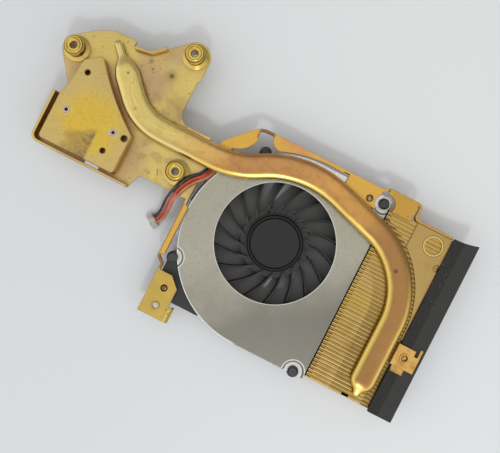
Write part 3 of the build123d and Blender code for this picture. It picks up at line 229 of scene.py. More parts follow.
def make_pipe():
    first, second = (Vector(point) for point in PIPE_POINTS[:2])
    tail = first - (second - first).normalized() * PIPE_TAIL_L
    last = Vector(PIPE_POINTS[-1])
    tip = last + (last - Vector(PIPE_POINTS[-2])).normalized() * PIPE_TIP_L
    samples = rounded_path((tail, *PIPE_POINTS[1:-1], tip), PIPE_RADII)
    stations = [0.0]
    for (before, _), (after, _) in zip(samples, samples[1:]):
        stations.append(stations[-1] + (after - before).length)
    rings = []
    for (place, heading), station in zip(samples, stations):
        sizes = [
            pipe_size(max(0, station + shift), max(0, stations[-1] - station - shift))
            for shift in (-PIPE_EASE, 0, PIPE_EASE)
        ]
        width, thick = (sum(values) / len(sizes) for values in zip(*sizes))
        rings.append(pipe_ring(place, heading, width, thick))
    pipe = skin("copper_pipe", rings)
    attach(pipe, "frame")
    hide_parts("heat_pipe")


def make_rivet():
    x, y = RIVET_AT
    angles = [tau * k / RIVET_FACETS for k in range(RIVET_FACETS)]
    rings = [
        [(x + radius * cos(angle), y + radius * sin(angle), height) for angle in angles]
        for radius, height in RIVET_PROFILE
    ]
    rivet = skin("clip_rivet", rings)
    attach(rivet, "frame")


make_camera()
for colour, route in WIRES.items():
    make_wire(colour, route)
make_pipe()
make_rivet()

# Places of a mix node's first input and of its result
MIX_SOCKETS = {"FLOAT": (2, 0), "RGBA": (6, 2)}
# How the shading masks tell an edge from a face and a corner from an open place
MASK_SAMPLES = 8
EDGE_TURN = (0.995, 0.88)
CREASE_SHELTER = (0.82, 0.35)
# Range in which most of a noise's values lie, and its middle
NOISE_RANGE = (0.3, 0.7)
NOISE_MEAN = 0.5
STREAK_RANGE = (0.46, 0.66)
STREAK_WANDER = 7
DOT_CORE = 0.4


class Graph:
    """Nodes of a material or a world, joined by short calls."""

    def __init__(self, tree):
        self.tree = tree

    def feed(self, target, value):
        """Give an input a number, a colour or another node's output."""
        if isinstance(value, bpy.types.NodeSocket):
            self.tree.links.new(value, target)
        elif target.type == "RGBA" and len(value) == 3:
            target.default_value = (*value, 1)
        else:
            target.default_value = value

    def node(self, kind, *values, **settings):
        """A new node, with its settings and its first inputs."""
        made = self.tree.nodes.new(f"ShaderNode{kind}")
        for name, value in settings.items():
            setattr(made, name, value)
        for target, value in zip(made.inputs, values):
            if value is not None:
                self.feed(target, value)
        return made

    def math(self, operation, *values):
        return self.node("Math", *values, operation=operation).outputs[0]

    def times(self, *values):
        product = values[0]
        for value in values[1:]:
            product = self.math("MULTIPLY", product, value)
        return product

    def band(self, value, low, high, start=0.0, end=1.0):
        """A number that runs smoothly from start to end while value runs from low to high."""
        made = self.node("MapRange", value, low, high, start, end, interpolation_type="SMOOTHSTEP")
        return made.outputs[0]

    def blend(self, before, after, share, kind="FLOAT"):
        """Two numbers or two colours mixed by a share."""
        made = self.node("Mix", share, data_type=kind)
        first, result = MIX_SOCKETS[kind]
        self.feed(made.inputs[first], before)
        self.feed(made.inputs[first + 1], after)
        return made.outputs[result]


class Shader(Graph):
    """A principled material fed by textures in the part's own space, with lengths in millimetres."""

    def __init__(self, name, roughness=0.5, metallic=0.0, **sockets):
        self.material = bpy.data.materials.new(name)
        self.material.use_nodes = True
        super().__init__(self.material.node_tree)
        self.surface = self.tree.nodes["Principled BSDF"]
        places = self.node("TexCoord").outputs
        self.space = places["Object"]
        self.facing = dict(zip("XYZ", self.node("SeparateXYZ", places["Normal"]).outputs))
        self.axes = dict(zip("XYZ", self.node("SeparateXYZ", self.space).outputs))
        self.colour = None
        self.set("Roughness", roughness)
        self.set("Metallic", metallic)
        for socket, value in sockets.items():
            self.set(socket.replace("_", " "), value)

    def set(self, socket, value):
        self.feed(self.surface.inputs[socket], value)

    def lean(self, x, y):
        """Distance along a level direction."""
        return self.math("ADD", self.times(self.axes["X"], x), self.times(self.axes["Y"], y))

    def fade(self, value, start, end, *levels):
        """A band between two distances."""
        return self.band(value, start * MM, end * MM, *levels)

    def between(self, value, low, high, soft):
        """1 while a distance lies between two bounds, fading out over soft."""
        rise = self.fade(value, low - soft, low + soft)
        return self.times(rise, self.fade(value, high + soft, high - soft))

    def region(self, x0, x1, y0, y1, soft=0.5):
        """A rectangle seen from above, 1 inside and 0 outside."""
        along = self.between(self.axes["X"], x0, x1, soft)
        return self.times(along, self.between(self.axes["Y"], y0, y1, soft))

    def flat(self):
        """The level part of a place."""
        return self.node("CombineXYZ", self.axes["X"], self.axes["Y"], 0.0).outputs[0]

    def away(self, x, y):
        """Level distance from a place."""
        middle = (x * MM, y * MM, 0)
        return self.node("VectorMath", self.flat(), middle, operation="DISTANCE").outputs["Value"]

    def spot(self, x, y, radius, soft=0.5):
        """A round stain, 1 at its middle and 0 outside."""
        return self.fade(self.away(x, y), radius, radius * (1 - soft))

    def ring(self, x, y, inner, outer, soft=0.1):
        """A round band, 1 between its two radii and 0 elsewhere."""
        return self.between(self.away(x, y), inner, outer, soft)

    def noise(self, size, detail=3.0, stretch=(1, 1, 1), turn=0.0, at=(0, 0, 0)):
        """Soft noise whose features are about size wide, drawn out by stretch along axes turned level.

        A shift at, in metres, picks another stretch of the same noise.
        """
        placed = self.node("Mapping", self.space, vector_type="TEXTURE")
        placed.inputs["Location"].default_value = [-shift for shift in at]
        placed.inputs["Rotation"].default_value = (0, 0, radians(turn))
        placed.inputs["Scale"].default_value = stretch
        texture = self.node("TexNoise", placed.outputs[0])
        texture.inputs["Scale"].default_value = 1 / (size * MM)
        texture.inputs["Detail"].default_value = detail
        return texture.outputs["Fac"]

    def mottle(self, size, low, high, detail=4.0, **placing):
        """Patches about size wide: 0 where a noise is under low, 1 where it is over high."""
        return self.band(self.noise(size, detail, **placing), low, high)

    def wander(self, size, reach, detail=3.0):
        """A distance that drifts to either side of 0 by up to half of reach."""
        return self.times(self.math("SUBTRACT", self.noise(size, detail), NOISE_MEAN), reach * MM)

    def streaks(self, x, y, size):
        """Uneven streaks drawn around a place, about size apart."""
        turns = self.times(self.away(x, y), 1 / (size * MM))
        texture = self.node("TexNoise", noise_dimensions="1D")
        self.feed(texture.inputs["W"], self.math("ADD", turns, self.noise(STREAK_WANDER, detail=2)))
        return self.band(texture.outputs["Fac"], *STREAK_RANGE)

    def dots(self, size, reach, at=(0, 0, 0)):
        """Small round specks, about size apart and reach of that wide, 1 inside and 0 outside."""
        cells = self.node("TexVoronoi", self.node("Mapping", self.space, at).outputs[0])
        cells.inputs["Scale"].default_value = 1 / (size * MM)
        return self.band(cells.outputs["Distance"], reach, reach * DOT_CORE)

    def edges(self, reach):
        """1 along the sharp edges of a solid, fading out within reach."""
        rounded = self.node("Bevel", reach * MM, samples=MASK_SAMPLES).outputs["Normal"]
        facing = self.node("NewGeometry").outputs["Normal"]
        along = self.node("VectorMath", rounded, facing, operation="DOT_PRODUCT").outputs["Value"]
        return self.band(along, *EDGE_TURN)

    def creases(self, reach):
        """1 in corners and along neighbouring pieces, fading out within reach."""
        shelter = self.node("AmbientOcclusion", None, reach * MM, samples=MASK_SAMPLES).outputs["AO"]
        return self.band(shelter, *CREASE_SHELTER)

    def paint(self, colour, *masks, depth=1.0):
        """Lay a colour over what is there, where all the masks are and as strongly as depth."""
        if self.colour is None:
            self.colour = colour
        else:
            self.colour = self.blend(self.colour, colour, self.times(*masks, depth), "RGBA")
        self.set("Base Color", self.colour)

    def stains_and_shades(self, rows):
        """Round stains and painted shades: colour, place, radius, softness and depth of each."""
        for colour, x, y, radius, soft, depth in rows:
            self.paint(colour, self.spot(x, y, radius, soft), depth=depth)

    def polish(self, size, smooth, rough):
        """Roughness that drifts between two values."""
        self.set("Roughness", self.band(self.noise(size, detail=5), *NOISE_RANGE, smooth, rough))

    def bump(self, height, depth, strength=1.0):
        """Relief of a depth, more or less marked."""
        made = self.node("Bump")
        made.inputs["Strength"].default_value = strength
        made.inputs["Distance"].default_value = depth * MM
        self.feed(made.inputs["Height"], height)
        self.set("Normal", made.outputs["Normal"])

    def dress(self, *names):
        """Put the material on pieces of the part or of this scene."""
        for name in names:
            piece = NODES[name] if name in NODES else bpy.data.objects[name]
            piece.data.materials.clear()
            piece.data.materials.append(self.material)


# Places on the part that several materials mark
BLOCK_TOP = 12.4
BLOCK_HOLES = ((-76.7, 21.1, 0.85), (-61.5, 1.4, 0.85), (-57.2, 7.8, 1.0))
BLOCK_PINS = ((-77.5, 7.8), (-61.1, 7.9))
BUSHES = {"screw_bush_1": (-84.3, 26.7), "screw_bush_2": (-49.4, 41.4), "screw_bush_3": (-38.2, 5.9)}

# Brass of the stamped sheet: pale gold and hazy on the base plate, orange on the arms
PALE_GOLD = (0.70, 0.53, 0.20)
YELLOW_GOLD = (0.76, 0.58, 0.18)
HAZE = (0.53, 0.35, 0.19)
HAZE_DARK = (0.36, 0.22, 0.12)
GRAIN = (0.50, 0.36, 0.12)
ARM_GOLD = (0.76, 0.45, 0.09)
ARM_COPPER = (0.74, 0.37, 0.13)
BRACKET_GOLD = (0.54, 0.385, 0.10)
BRACKET_TAN = (0.60, 0.41, 0.09)
TAB_GOLD = (0.58, 0.34, 0.075)
# Painted shade: dark brown for the links, the left arm beside its crest, creases and edges
BRASS_SHADE = (0.26, 0.13, 0.06)
STAIN = (0.12, 0.08, 0.05)
SPECK = (0.24, 0.15, 0.07)
# Painted shade for holes and bores
HOLE_SHADE = (0.36, 0.21, 0.12)
# Where one colour turns into the next along X or Y
ARM_X = (-31.2, -30.6)
ARM_CREST_X = (-31.5, -30.1)
TAB_X = (23, 27)
BRACKET_Y = (-22, -24)
# Rectangles: two X and two Y values
PLATE_MIDDLE = (-72, -36, 0, 30)
LEFT_ARM = (-34, -29, -24, -1.6)
LEFT_ARM_SHADED_SIDES = (-33, -29, -20, -1.6)
LEFT_LINK = (-33, -28.6, -23.6, -19.6)
TOP_ARM = (-15, 10, 24, 34)
TOP_LINK = (-20.6, -15.6, 27.6, 32.5)
SCRATCH = (-44.6, -43.2, 2.0, 4.2)
# Radii of the arc that the scratch is part of
SCRATCH_R = (6.1, 6.4)
# A spot: place, radius and softness
FLECK_SPOT = (-59.5, 32.5, 5.5, 0.6)
# Round patches, stains and painted shades: colour, place, radius, softness and depth
PATCHES_UNDER_MOTTLE = ((HAZE, -57, 3, 13, 0.8, 0.85), (HAZE_DARK, -64, 15, 9, 1.0, 0.85))
PATCHES_OVER_MOTTLE = (
    (HAZE_DARK, -80, 21, 5, 1.0, 0.6),
    (HAZE_DARK, -46, 24, 9, 1.0, 0.5),
    (HAZE, -60, 30, 9, 0.9, 0.5),
    (YELLOW_GOLD, -48, 33, 10, 0.9, 0.9),
)
PLATE_STAINS = (
    (STAIN, -53.5, 32.6, 1.1, 0.9, 0.9),
    (STAIN, -53.5, 32.6, 3.2, 1.0, 0.45),
    (STAIN, -61.5, 33.9, 1.2, 0.9, 0.5),
    (STAIN, -60.0, 31.8, 0.7, 0.9, 0.6),
    (STAIN, -46.6, 12.2, 0.6, 0.9, 0.5),
)
# Painted shade on the plate under each hole of the block
HOLE_SPREAD = 1.5
HOLE_SHADES = [(HOLE_SHADE, x, y, radius * HOLE_SPREAD, 0.1, 1.0) for x, y, radius in BLOCK_HOLES]


def sheet_brass():
    brass = Shader("sheet_brass", metallic=1.0)
    brass.paint(PALE_GOLD)
    brass.paint(YELLOW_GOLD, brass.mottle(12, low=0.42, high=0.64))
    brass.paint(HAZE, brass.mottle(16, low=0.48, high=0.66, detail=3, at=(0.3, 0.1, 0)), depth=0.75)
    brass.stains_and_shades(PATCHES_UNDER_MOTTLE)
    mottle = brass.mottle(3.2, low=0.46, high=0.62, detail=5, at=(0.05, 0, 0))
    brass.paint(HAZE_DARK, brass.region(*PLATE_MIDDLE, soft=3), mottle, depth=0.4)
    brass.stains_and_shades(PATCHES_OVER_MOTTLE)
    brass.paint(GRAIN, brass.mottle(0.7, low=0.48, high=0.70), depth=0.35)
    brass.paint(ARM_GOLD, brass.fade(brass.axes["X"], *ARM_X))
    brass.paint(ARM_GOLD, brass.region(*LEFT_ARM, soft=0.3))
    # Painted shade on the left arm beside its crest
    shaded_sides = brass.math("SUBTRACT", 1.0, brass.between(brass.axes["X"], *ARM_CREST_X, soft=0.12))
    brass.paint(BRASS_SHADE, brass.region(*LEFT_ARM_SHADED_SIDES, soft=0.2), shaded_sides, depth=0.75)
    brass.paint(TAB_GOLD, brass.fade(brass.axes["X"], *TAB_X), depth=0.85)
    brass.paint(ARM_COPPER, brass.region(*TOP_ARM, soft=2), brass.mottle(6, low=0.35, high=0.6, detail=3))
    bracket = brass.fade(brass.axes["Y"], *BRACKET_Y)
    brass.paint(BRACKET_TAN, bracket)
    brass.paint(BRACKET_GOLD, bracket, brass.mottle(4, low=0.3, high=0.6, detail=3))
    # Painted shade on the two links between the base plate and the arms
    brass.paint(BRASS_SHADE, brass.region(*TOP_LINK), depth=0.9)
    brass.paint(BRASS_SHADE, brass.region(*LEFT_LINK, soft=0.4), depth=0.85)
    patchy = brass.mottle(9, low=0.46, high=0.60, detail=2, at=(0, 0.2, 0))
    brass.paint(SPECK, brass.dots(1.9, reach=0.22), patchy, depth=0.8)
    brass.paint(SPECK, brass.dots(1.1, reach=0.22, at=(0.1, 0, 0)), brass.spot(*FLECK_SPOT), depth=0.8)
    brass.stains_and_shades(PLATE_STAINS)
    scratch = brass.ring(*BUSHES["screw_bush_3"], *SCRATCH_R, soft=0.12)
    brass.paint(STAIN, scratch, brass.region(*SCRATCH, soft=0.3), depth=0.8)
    # Painted shade under the block's holes
    brass.stains_and_shades(HOLE_SHADES)
    # Painted shade in creases next to other pieces and along the sheet's edges
    brass.paint(BRASS_SHADE, brass.creases(reach=2.5), depth=0.8)
    brass.paint(BRASS_SHADE, brass.edges(reach=0.4), depth=0.6)
    brass.polish(6, smooth=0.30, rough=0.44)
    brass.bump(brass.noise(0.5), depth=0.02, strength=0.35)
    return brass


# Clip on the gasket and its rivet: darker, browner sheet, with painted shade at the rivet and along the
# edges
CLIP_GOLD = (0.68, 0.41, 0.12)
CLIP_BROWN = (0.50, 0.27, 0.075)
CLIP_SHADE = (0.16, 0.08, 0.03)
RIVET_DIMPLE_R = (0.34, 0.5)
RIVET_EDGE_R = (0.68, 0.95)


def clip_brass():
    brass = Shader("clip_brass", metallic=1.0)
    brass.paint(CLIP_GOLD)
    brass.paint(CLIP_BROWN, brass.mottle(3.5, low=0.40, high=0.66, detail=3))
    # Painted shade in the rivet's dimple, round its edge and along the clip's edges
    brass.paint(CLIP_SHADE, brass.ring(*RIVET_AT, *RIVET_DIMPLE_R, soft=0.08), depth=0.9)
    brass.paint(CLIP_SHADE, brass.ring(*RIVET_AT, *RIVET_EDGE_R, soft=0.08), depth=0.8)
    brass.paint(CLIP_SHADE, brass.edges(reach=0.3), depth=0.6)
    brass.polish(2, smooth=0.26, rough=0.40)
    brass.bump(brass.noise(0.4), depth=0.02, strength=0.35)
    return brass


# Copper of the pipe: gold where it lies on the plate, redder over the fan, browner on the fins.
# Each X pair says where a colour starts and where it is full.
PIPE_GOLD = (0.74, 0.58, 0.19)
PIPE_PALE = (0.82, 0.66, 0.22)
PIPE_COPPER = (0.72, 0.37, 0.11)
PIPE_BROWN = (0.42, 0.22, 0.072)
PIPE_FLANK_LIT = (0.76, 0.55, 0.14)
PIPE_FLANK_PALE_LIT = (0.72, 0.59, 0.26)
PIPE_TARNISH = (0.40, 0.20, 0.10)
PIPE_DRIFT = 26
PIPE_WORN_X = (-30, -40)
PIPE_COPPER_X = (-46, -24)
PIPE_BROWN_X = (10, 32)
PIPE_STREAKS_X = (-34, -24)
PIPE_DULL_X = (-26, 3)
PIPE_MOTTLE_X = (-60, -20)
PIPE_MOTTLE_DEPTH = (0.15, 0.45)
PIPE_FLANK_PALE_X = (-32, -42)
PIPE_FLANK_Z = (11.90, 11.70)
PIPE_LIT_FACING = (0.30, 0.05)
FIRST_BEND = (-48.4, 32.6)
PIPE_STAINS = (
    (STAIN, 37.5, 9.4, 1.1, 0.8, 0.8),
    (STAIN, -65.5, 26.8, 0.7, 0.8, 0.7),
    (STAIN, -58.5, 17.8, 0.9, 0.8, 0.35),
)


def pipe_copper():
    copper = Shader("pipe_copper", metallic=1.0)
    along = copper.math("ADD", copper.axes["X"], copper.wander(14, PIPE_DRIFT))
    copper.paint(PIPE_GOLD)
    copper.paint(PIPE_PALE, copper.mottle(5, low=0.4, high=0.65))
    worn = copper.streaks(*FIRST_BEND, size=1.6)
    rubbed = copper.mottle(5, low=0.35, high=0.65, detail=3)
    copper.paint(PIPE_BROWN, worn, rubbed, copper.fade(along, *PIPE_WORN_X), depth=0.6)
    copper.paint(PIPE_COPPER, copper.fade(along, *PIPE_COPPER_X))
    copper.paint(PIPE_BROWN, copper.fade(along, *PIPE_BROWN_X))
    streaks = copper.mottle(2.6, low=0.45, high=0.70, stretch=(5, 1, 1), turn=-12)
    copper.paint(PIPE_TARNISH, streaks, copper.fade(along, *PIPE_STREAKS_X), depth=0.5)
    copper.paint(PIPE_TARNISH, copper.between(copper.axes["X"], *PIPE_DULL_X, soft=8), depth=0.45)
    mottle = copper.mottle(2.2, low=0.48, high=0.72)
    copper.paint(PIPE_BROWN, mottle, copper.fade(along, *PIPE_MOTTLE_X, *PIPE_MOTTLE_DEPTH))
    copper.paint(SPECK, copper.dots(2.4, reach=0.13), depth=0.6)
    # Low flanks not facing +Y painted yellow: partly the pipe's plating, partly painted highlight on the
    # lit sides
    low = copper.fade(copper.axes["Z"], *PIPE_FLANK_Z)
    lit_flank = copper.times(low, copper.band(copper.facing["Y"], *PIPE_LIT_FACING))
    copper.paint(PIPE_FLANK_LIT, lit_flank, depth=0.85)
    copper.paint(PIPE_FLANK_PALE_LIT, lit_flank, copper.fade(copper.axes["X"], *PIPE_FLANK_PALE_X), depth=0.8)
    copper.stains_and_shades(PIPE_STAINS)
    copper.polish(5, smooth=0.20, rough=0.30)
    copper.bump(copper.noise(0.6), depth=0.02, strength=0.3)
    return copper


# Contact block: rubbed yellow in the middle, with a dark rubbed patch at its lower edge
BLOCK_YELLOW = (0.76, 0.52, 0.08)
BLOCK_PALE = (0.66, 0.49, 0.18)
BLOCK_DARK = (0.30, 0.20, 0.09)
PIN_HALO = (0.64, 0.60, 0.50)
PIN_HALO_R = (0.9, 1.5)
YELLOW_SPOT = (-69.0, 6.5, 17, 1.0)
YELLOW_RANGE = (0.75, 1.5)
YELLOW_STREAKS = 0.7
DARK_LEFT_X = (-73.6, -71.6)
DARK_RIGHT_X = (-65.2, -66.2)
DARK_DEEPER_X = (-73, -66)
DARK_TOP_WAY = (-0.42, 1)
DARK_TOP = (36.4, 33.6)
DARK_RAGGED = 3.2
DARK_MOTTLE = (0.3, 0.65)
DARK_LEVELS = (0.55, 1.0)
HOLE_RIM = 0.25
HOLE_MARGIN = 0.1
HOLE_DEPTHS = (0.05, 0.5)


def block_metal():
    metal = Shader("block_metal", metallic=1.0)
    metal.paint(BLOCK_PALE)
    rubbed = metal.noise(3, detail=4, stretch=(2, 1, 1), turn=35)
    streaks = metal.math("ADD", metal.noise(8, detail=4), rubbed)
    worn = metal.math("ADD", metal.spot(*YELLOW_SPOT), metal.times(streaks, YELLOW_STREAKS))
    metal.paint(BLOCK_YELLOW, metal.band(worn, *YELLOW_RANGE))
    metal.paint(GRAIN, metal.mottle(0.8, low=0.48, high=0.70, detail=5), depth=0.4)
    ragged = metal.times(metal.noise(3, detail=4), DARK_RAGGED * MM)
    left = metal.fade(metal.math("ADD", metal.axes["X"], ragged), *DARK_LEFT_X)
    right = metal.fade(metal.axes["X"], *DARK_RIGHT_X)
    top = metal.fade(metal.math("ADD", metal.lean(*DARK_TOP_WAY), ragged), *DARK_TOP)
    deeper = metal.fade(metal.axes["X"], *DARK_DEEPER_X, *DARK_LEVELS)
    mottle = metal.band(metal.noise(1.1, detail=4), *DARK_MOTTLE, *DARK_LEVELS)
    metal.paint(BLOCK_DARK, left, right, top, deeper, mottle)
    metal.paint(SPECK, metal.dots(2.2, reach=0.12), depth=0.5)
    for x, y in BLOCK_PINS:
        halo = metal.ring(x, y, *PIN_HALO_R, soft=0.4)
        metal.paint(PIN_HALO, halo, metal.mottle(0.9, low=0.35, high=0.6, detail=3), depth=0.9)
    # Painted shade inside each hole, with a dark ring at its rim
    inside = metal.fade(metal.axes["Z"], *(BLOCK_TOP - depth for depth in HOLE_DEPTHS))
    for x, y, radius in BLOCK_HOLES:
        metal.paint(SPECK, metal.ring(x, y, radius, radius + HOLE_RIM, soft=0.15), depth=0.8)
        metal.paint(HOLE_SHADE, metal.spot(x, y, radius + HOLE_MARGIN, soft=0.1), inside)
    # Painted shade along the block's edges
    metal.paint(BRASS_SHADE, metal.edges(reach=0.4), depth=0.6)
    metal.polish(5, smooth=0.34, rough=0.48)
    metal.bump(metal.noise(0.3), depth=0.015, strength=0.35)
    return metal


# Turned bushes: bright yellow metal with fine lathe rings, a painted shadow ring and painted shade in the
# bore
BUSH_GOLD = (0.76, 0.58, 0.16)
BUSH_TAN = (0.60, 0.42, 0.12)
BUSH_SHADOW = (0.16, 0.10, 0.03)
BUSH_BORE_SHADE = (0.46, 0.30, 0.11)
BUSH_FOOT_R = (3.0, 3.2)
BUSH_SHADOW_R = (2.68, 3.02)
BUSH_BORE_R = 1.2
LATHE_PITCH = 0.12


def bush_metal(name, x, y):
    metal = Shader(f"{name}_metal", metallic=1.0)
    metal.paint(BUSH_GOLD)
    metal.paint(BUSH_TAN, metal.mottle(2.5, low=0.45, high=0.75))
    metal.paint(BUSH_TAN, metal.fade(metal.away(x, y), *BUSH_FOOT_R), depth=0.8)
    metal.paint(BUSH_SHADOW, metal.ring(x, y, *BUSH_SHADOW_R), depth=0.85)
    # Painted shade in the bore
    metal.paint(BUSH_BORE_SHADE, metal.spot(x, y, BUSH_BORE_R, soft=0.05))
    metal.polish(2, smooth=0.20, rough=0.34)
    lathe = metal.math("SINE", metal.times(metal.axes["Z"], tau / (LATHE_PITCH * MM)))
    metal.bump(lathe, depth=0.004, strength=0.5)
    return metal


# Fins: thin yellow sheet, a dark seam and a painted fold highlight at every pitch, painted shade by the
# pipe.
# Bounds of the folds, seams and dashes are shares of a pitch.
FIN_GOLD = (0.54, 0.36, 0.09)
FIN_BROWN = (0.42, 0.265, 0.07)
FIN_SHADE = (0.24, 0.145, 0.042)
FIN_HIGHLIGHT = (0.80, 0.60, 0.22)
FIN_DARK = (0.10, 0.06, 0.02)
FIN_LOW = -33.4
FIN_HIGH = 26.4
FIN_COUNT = 47
FIN_PITCH = (FIN_HIGH - FIN_LOW) / FIN_COUNT
FIN_BROWN_DEPTH = (0.0, 0.8)
FIN_DULL_Y = (2, -26)
FIN_UPWARD = (0.5, 0.9)
FOLD_START = (0.08, 0.16)
FOLD_END = (0.40, 0.24)
FOLD_DEPTH = (0.35, 0.8)
SEAM_START = (0.92, 0.97)
SEAM_END = (0.10, 0.03)
DASH_END = (0.44, 0.34)
# Distances from the middle of the pipe's last bend
LAST_BEND = (18.2, -6.45)
SHELTER_REACH = (17.8, 24)
SHELTER_Y = (16, -8)
DASH_REACH = (29, 31.5)


def beyond_bend(shader):
    """Distance from the middle of the pipe's last bend, kept level along its last run."""
    over = shader.math("MAXIMUM", shader.math("SUBTRACT", shader.axes["Y"], LAST_BEND[1] * MM), 0.0)
    out = shader.math("SUBTRACT", shader.axes["X"], LAST_BEND[0] * MM)
    return shader.math("SQRT", shader.math("ADD", shader.times(out, out), shader.times(over, over)))


def fin_brass():
    brass = Shader("fin_brass", metallic=1.0)
    count = brass.math("DIVIDE", brass.math("SUBTRACT", brass.axes["Y"], FIN_LOW * MM), FIN_PITCH * MM)
    draw = brass.node("TexWhiteNoise", None, brass.math("FLOOR", count), noise_dimensions="1D")
    shade = draw.outputs["Value"]
    place = brass.math("FRACT", count)
    brass.paint(FIN_GOLD)
    brass.paint(FIN_BROWN, brass.band(shade, 0.0, 1.0, *FIN_BROWN_DEPTH))
    brass.paint(FIN_SHADE, brass.fade(brass.axes["Y"], *FIN_DULL_Y), depth=0.6)
    brass.paint(HAZE, brass.mottle(8, low=0.42, high=0.66), depth=0.25)
    beyond = beyond_bend(brass)
    above = brass.band(brass.facing["Z"], *FIN_UPWARD)
    shelter = brass.between(beyond, *SHELTER_REACH, soft=0.5)
    brass.paint(FIN_SHADE, shelter, brass.fade(brass.axes["Y"], *SHELTER_Y), above, depth=0.7)
    # Painted highlight along each fin's fold
    fold = brass.times(brass.band(place, *FOLD_START), brass.band(place, *FOLD_END))
    brass.paint(FIN_HIGHLIGHT, fold, brass.band(shade, 0.0, 1.0, *FOLD_DEPTH))
    seam = brass.math("MAXIMUM", brass.band(place, *SEAM_END), brass.band(place, *SEAM_START))
    brass.paint(FIN_DARK, seam, depth=0.35)
    dashes = brass.times(brass.between(beyond, *DASH_REACH, soft=0.3), brass.band(place, *DASH_END))
    brass.paint(FIN_DARK, dashes, above, depth=0.85)
    brass.paint(FIN_SHADE, brass.creases(reach=2.0), above, depth=0.7)
    brass.polish(4, smooth=0.30, rough=0.44)
    brass.bump(brass.noise(0.4, stretch=(6, 1, 1)), depth=0.02, strength=0.35)
    return brass


# Plate on the fins: duller gold, with a painted highlight round its window
FIN_PLATE_GOLD = (0.51, 0.345, 0.122)
WINDOW_AT = (45.2, 22.0)
WINDOW_RIM_R = (2.8, 3.25)
WINDOW_GROOVE_R = (3.25, 3.5)
VENT_AT = (49.4, 16.1)
VENT_RIM_R = (1.05, 1.3)


def fin_plate_brass():
    brass = Shader("fin_plate_brass", metallic=1.0)
    brass.paint(FIN_PLATE_GOLD)
    brass.paint(FIN_BROWN, brass.mottle(7, low=0.42, high=0.66), depth=0.35)
    # Painted highlight on the window's rim and painted shade in the groove round it
    brass.paint(FIN_HIGHLIGHT, brass.ring(*WINDOW_AT, *WINDOW_RIM_R, soft=0.12), depth=0.9)
    brass.paint(FIN_DARK, brass.ring(*WINDOW_AT, *WINDOW_GROOVE_R, soft=0.12), depth=0.6)
    brass.paint(FIN_DARK, brass.ring(*VENT_AT, *VENT_RIM_R), depth=0.6)
    brass.polish(4, smooth=0.30, rough=0.44)
    brass.bump(brass.noise(0.4), depth=0.02, strength=0.35)
    return brass


# Steel cover: brushed, a little warm, with painted shade towards its lower edge and painted highlights
STEEL = (0.45, 0.425, 0.34)
STEEL_DULL_AND_SHADE = (0.22, 0.205, 0.172)
STEEL_HIGHLIGHT = (0.92, 0.91, 0.87)
STEEL_CREASE_SHADE = (0.16, 0.13, 0.09)
STEEL_DRIFT = 30
STEEL_SHADE_RUN = (2, 31)
STAKES = ((-27.3, -18.8), (23.7, -34.0), (-15.9, 24.6), (25.4, 27.1))
DISH_R = 4.1
INLET_R = 19.55
INLET_RIM = 0.22
SCROLL_AT = (2.0, -2.6)
SCROLL_R = 32.1
SCROLL_RIM = 0.35
SCROLL_RIM_X = (4, 1)
TOP_STRIP_LIT = (-12, 24, 25.4, 31)
STEEL_ROUGHNESS = (0.34, 0.50)


def cover_steel():
    steel = Shader("cover_steel", metallic=1.0)
    steel.paint(STEEL)
    # Painted shade: darker towards the bottom of the view
    down = steel.math("ADD", steel.lean(*VIEW_DOWN), steel.wander(18, STEEL_DRIFT, detail=4))
    steel.paint(STEEL_DULL_AND_SHADE, steel.fade(down, *STEEL_SHADE_RUN))
    steel.paint(STEEL_DULL_AND_SHADE, steel.mottle(0.5, low=0.5, high=0.72, detail=3), depth=0.35)
    # Painted highlights on the inlet's rim, the scroll's rim and the top strip
    steel.paint(STEEL_HIGHLIGHT, steel.ring(0, 0, INLET_R, INLET_R + INLET_RIM, soft=0.08), depth=0.8)
    rim = steel.ring(*SCROLL_AT, SCROLL_R - SCROLL_RIM, SCROLL_R)
    steel.paint(STEEL_HIGHLIGHT, rim, steel.fade(steel.axes["X"], *SCROLL_RIM_X), depth=0.8)
    steel.paint(STEEL_HIGHLIGHT, steel.region(*TOP_STRIP_LIT, soft=0.4), depth=0.9)
    # Painted highlights on the dishes round the stakes
    for x, y in STAKES:
        steel.paint(STEEL_HIGHLIGHT, steel.spot(x, y, DISH_R, soft=0.05), depth=0.45)
    # Painted shade in creases and painted highlights along the edges
    steel.paint(STEEL_CREASE_SHADE, steel.creases(reach=2.0), depth=0.6)
    steel.paint(STEEL_HIGHLIGHT, steel.edges(reach=0.3), depth=0.6)
    brushed = steel.noise(0.25, detail=4, stretch=(1, 30, 1))
    steel.set("Roughness", steel.band(brushed, *NOISE_RANGE, *STEEL_ROUGHNESS))
    steel.bump(brushed, depth=0.01, strength=0.35)
    return steel


# Black moulded plastic of the fan: a floor turned in rings, dull blades and a smooth hub
PLASTIC = (0.018, 0.018, 0.017)
PLASTIC_WORN = (0.034, 0.034, 0.032)
HOUSING_TINT = (0.35, 0.35, 0.35)
FAN_FLOOR = (0.012, 0.012, 0.010)
FAN_FLOOR_TINT = (0.82, 0.80, 0.78)
FAN_FLOOR_Z = (1.0, 0.9)
FAN_FLOOR_R = 24.0
BLADE_BLACK = (0.008, 0.008, 0.007)
BLADE_ROUGHNESS = 0.45
HUB_BLACK = (0.009, 0.011, 0.009)
HUB_BLACK_R = 9.3
HUB_ROUGHNESS = 0.22
HUB_DISC = (0.034, 0.033, 0.031)
HUB_DISC_R = 12.7


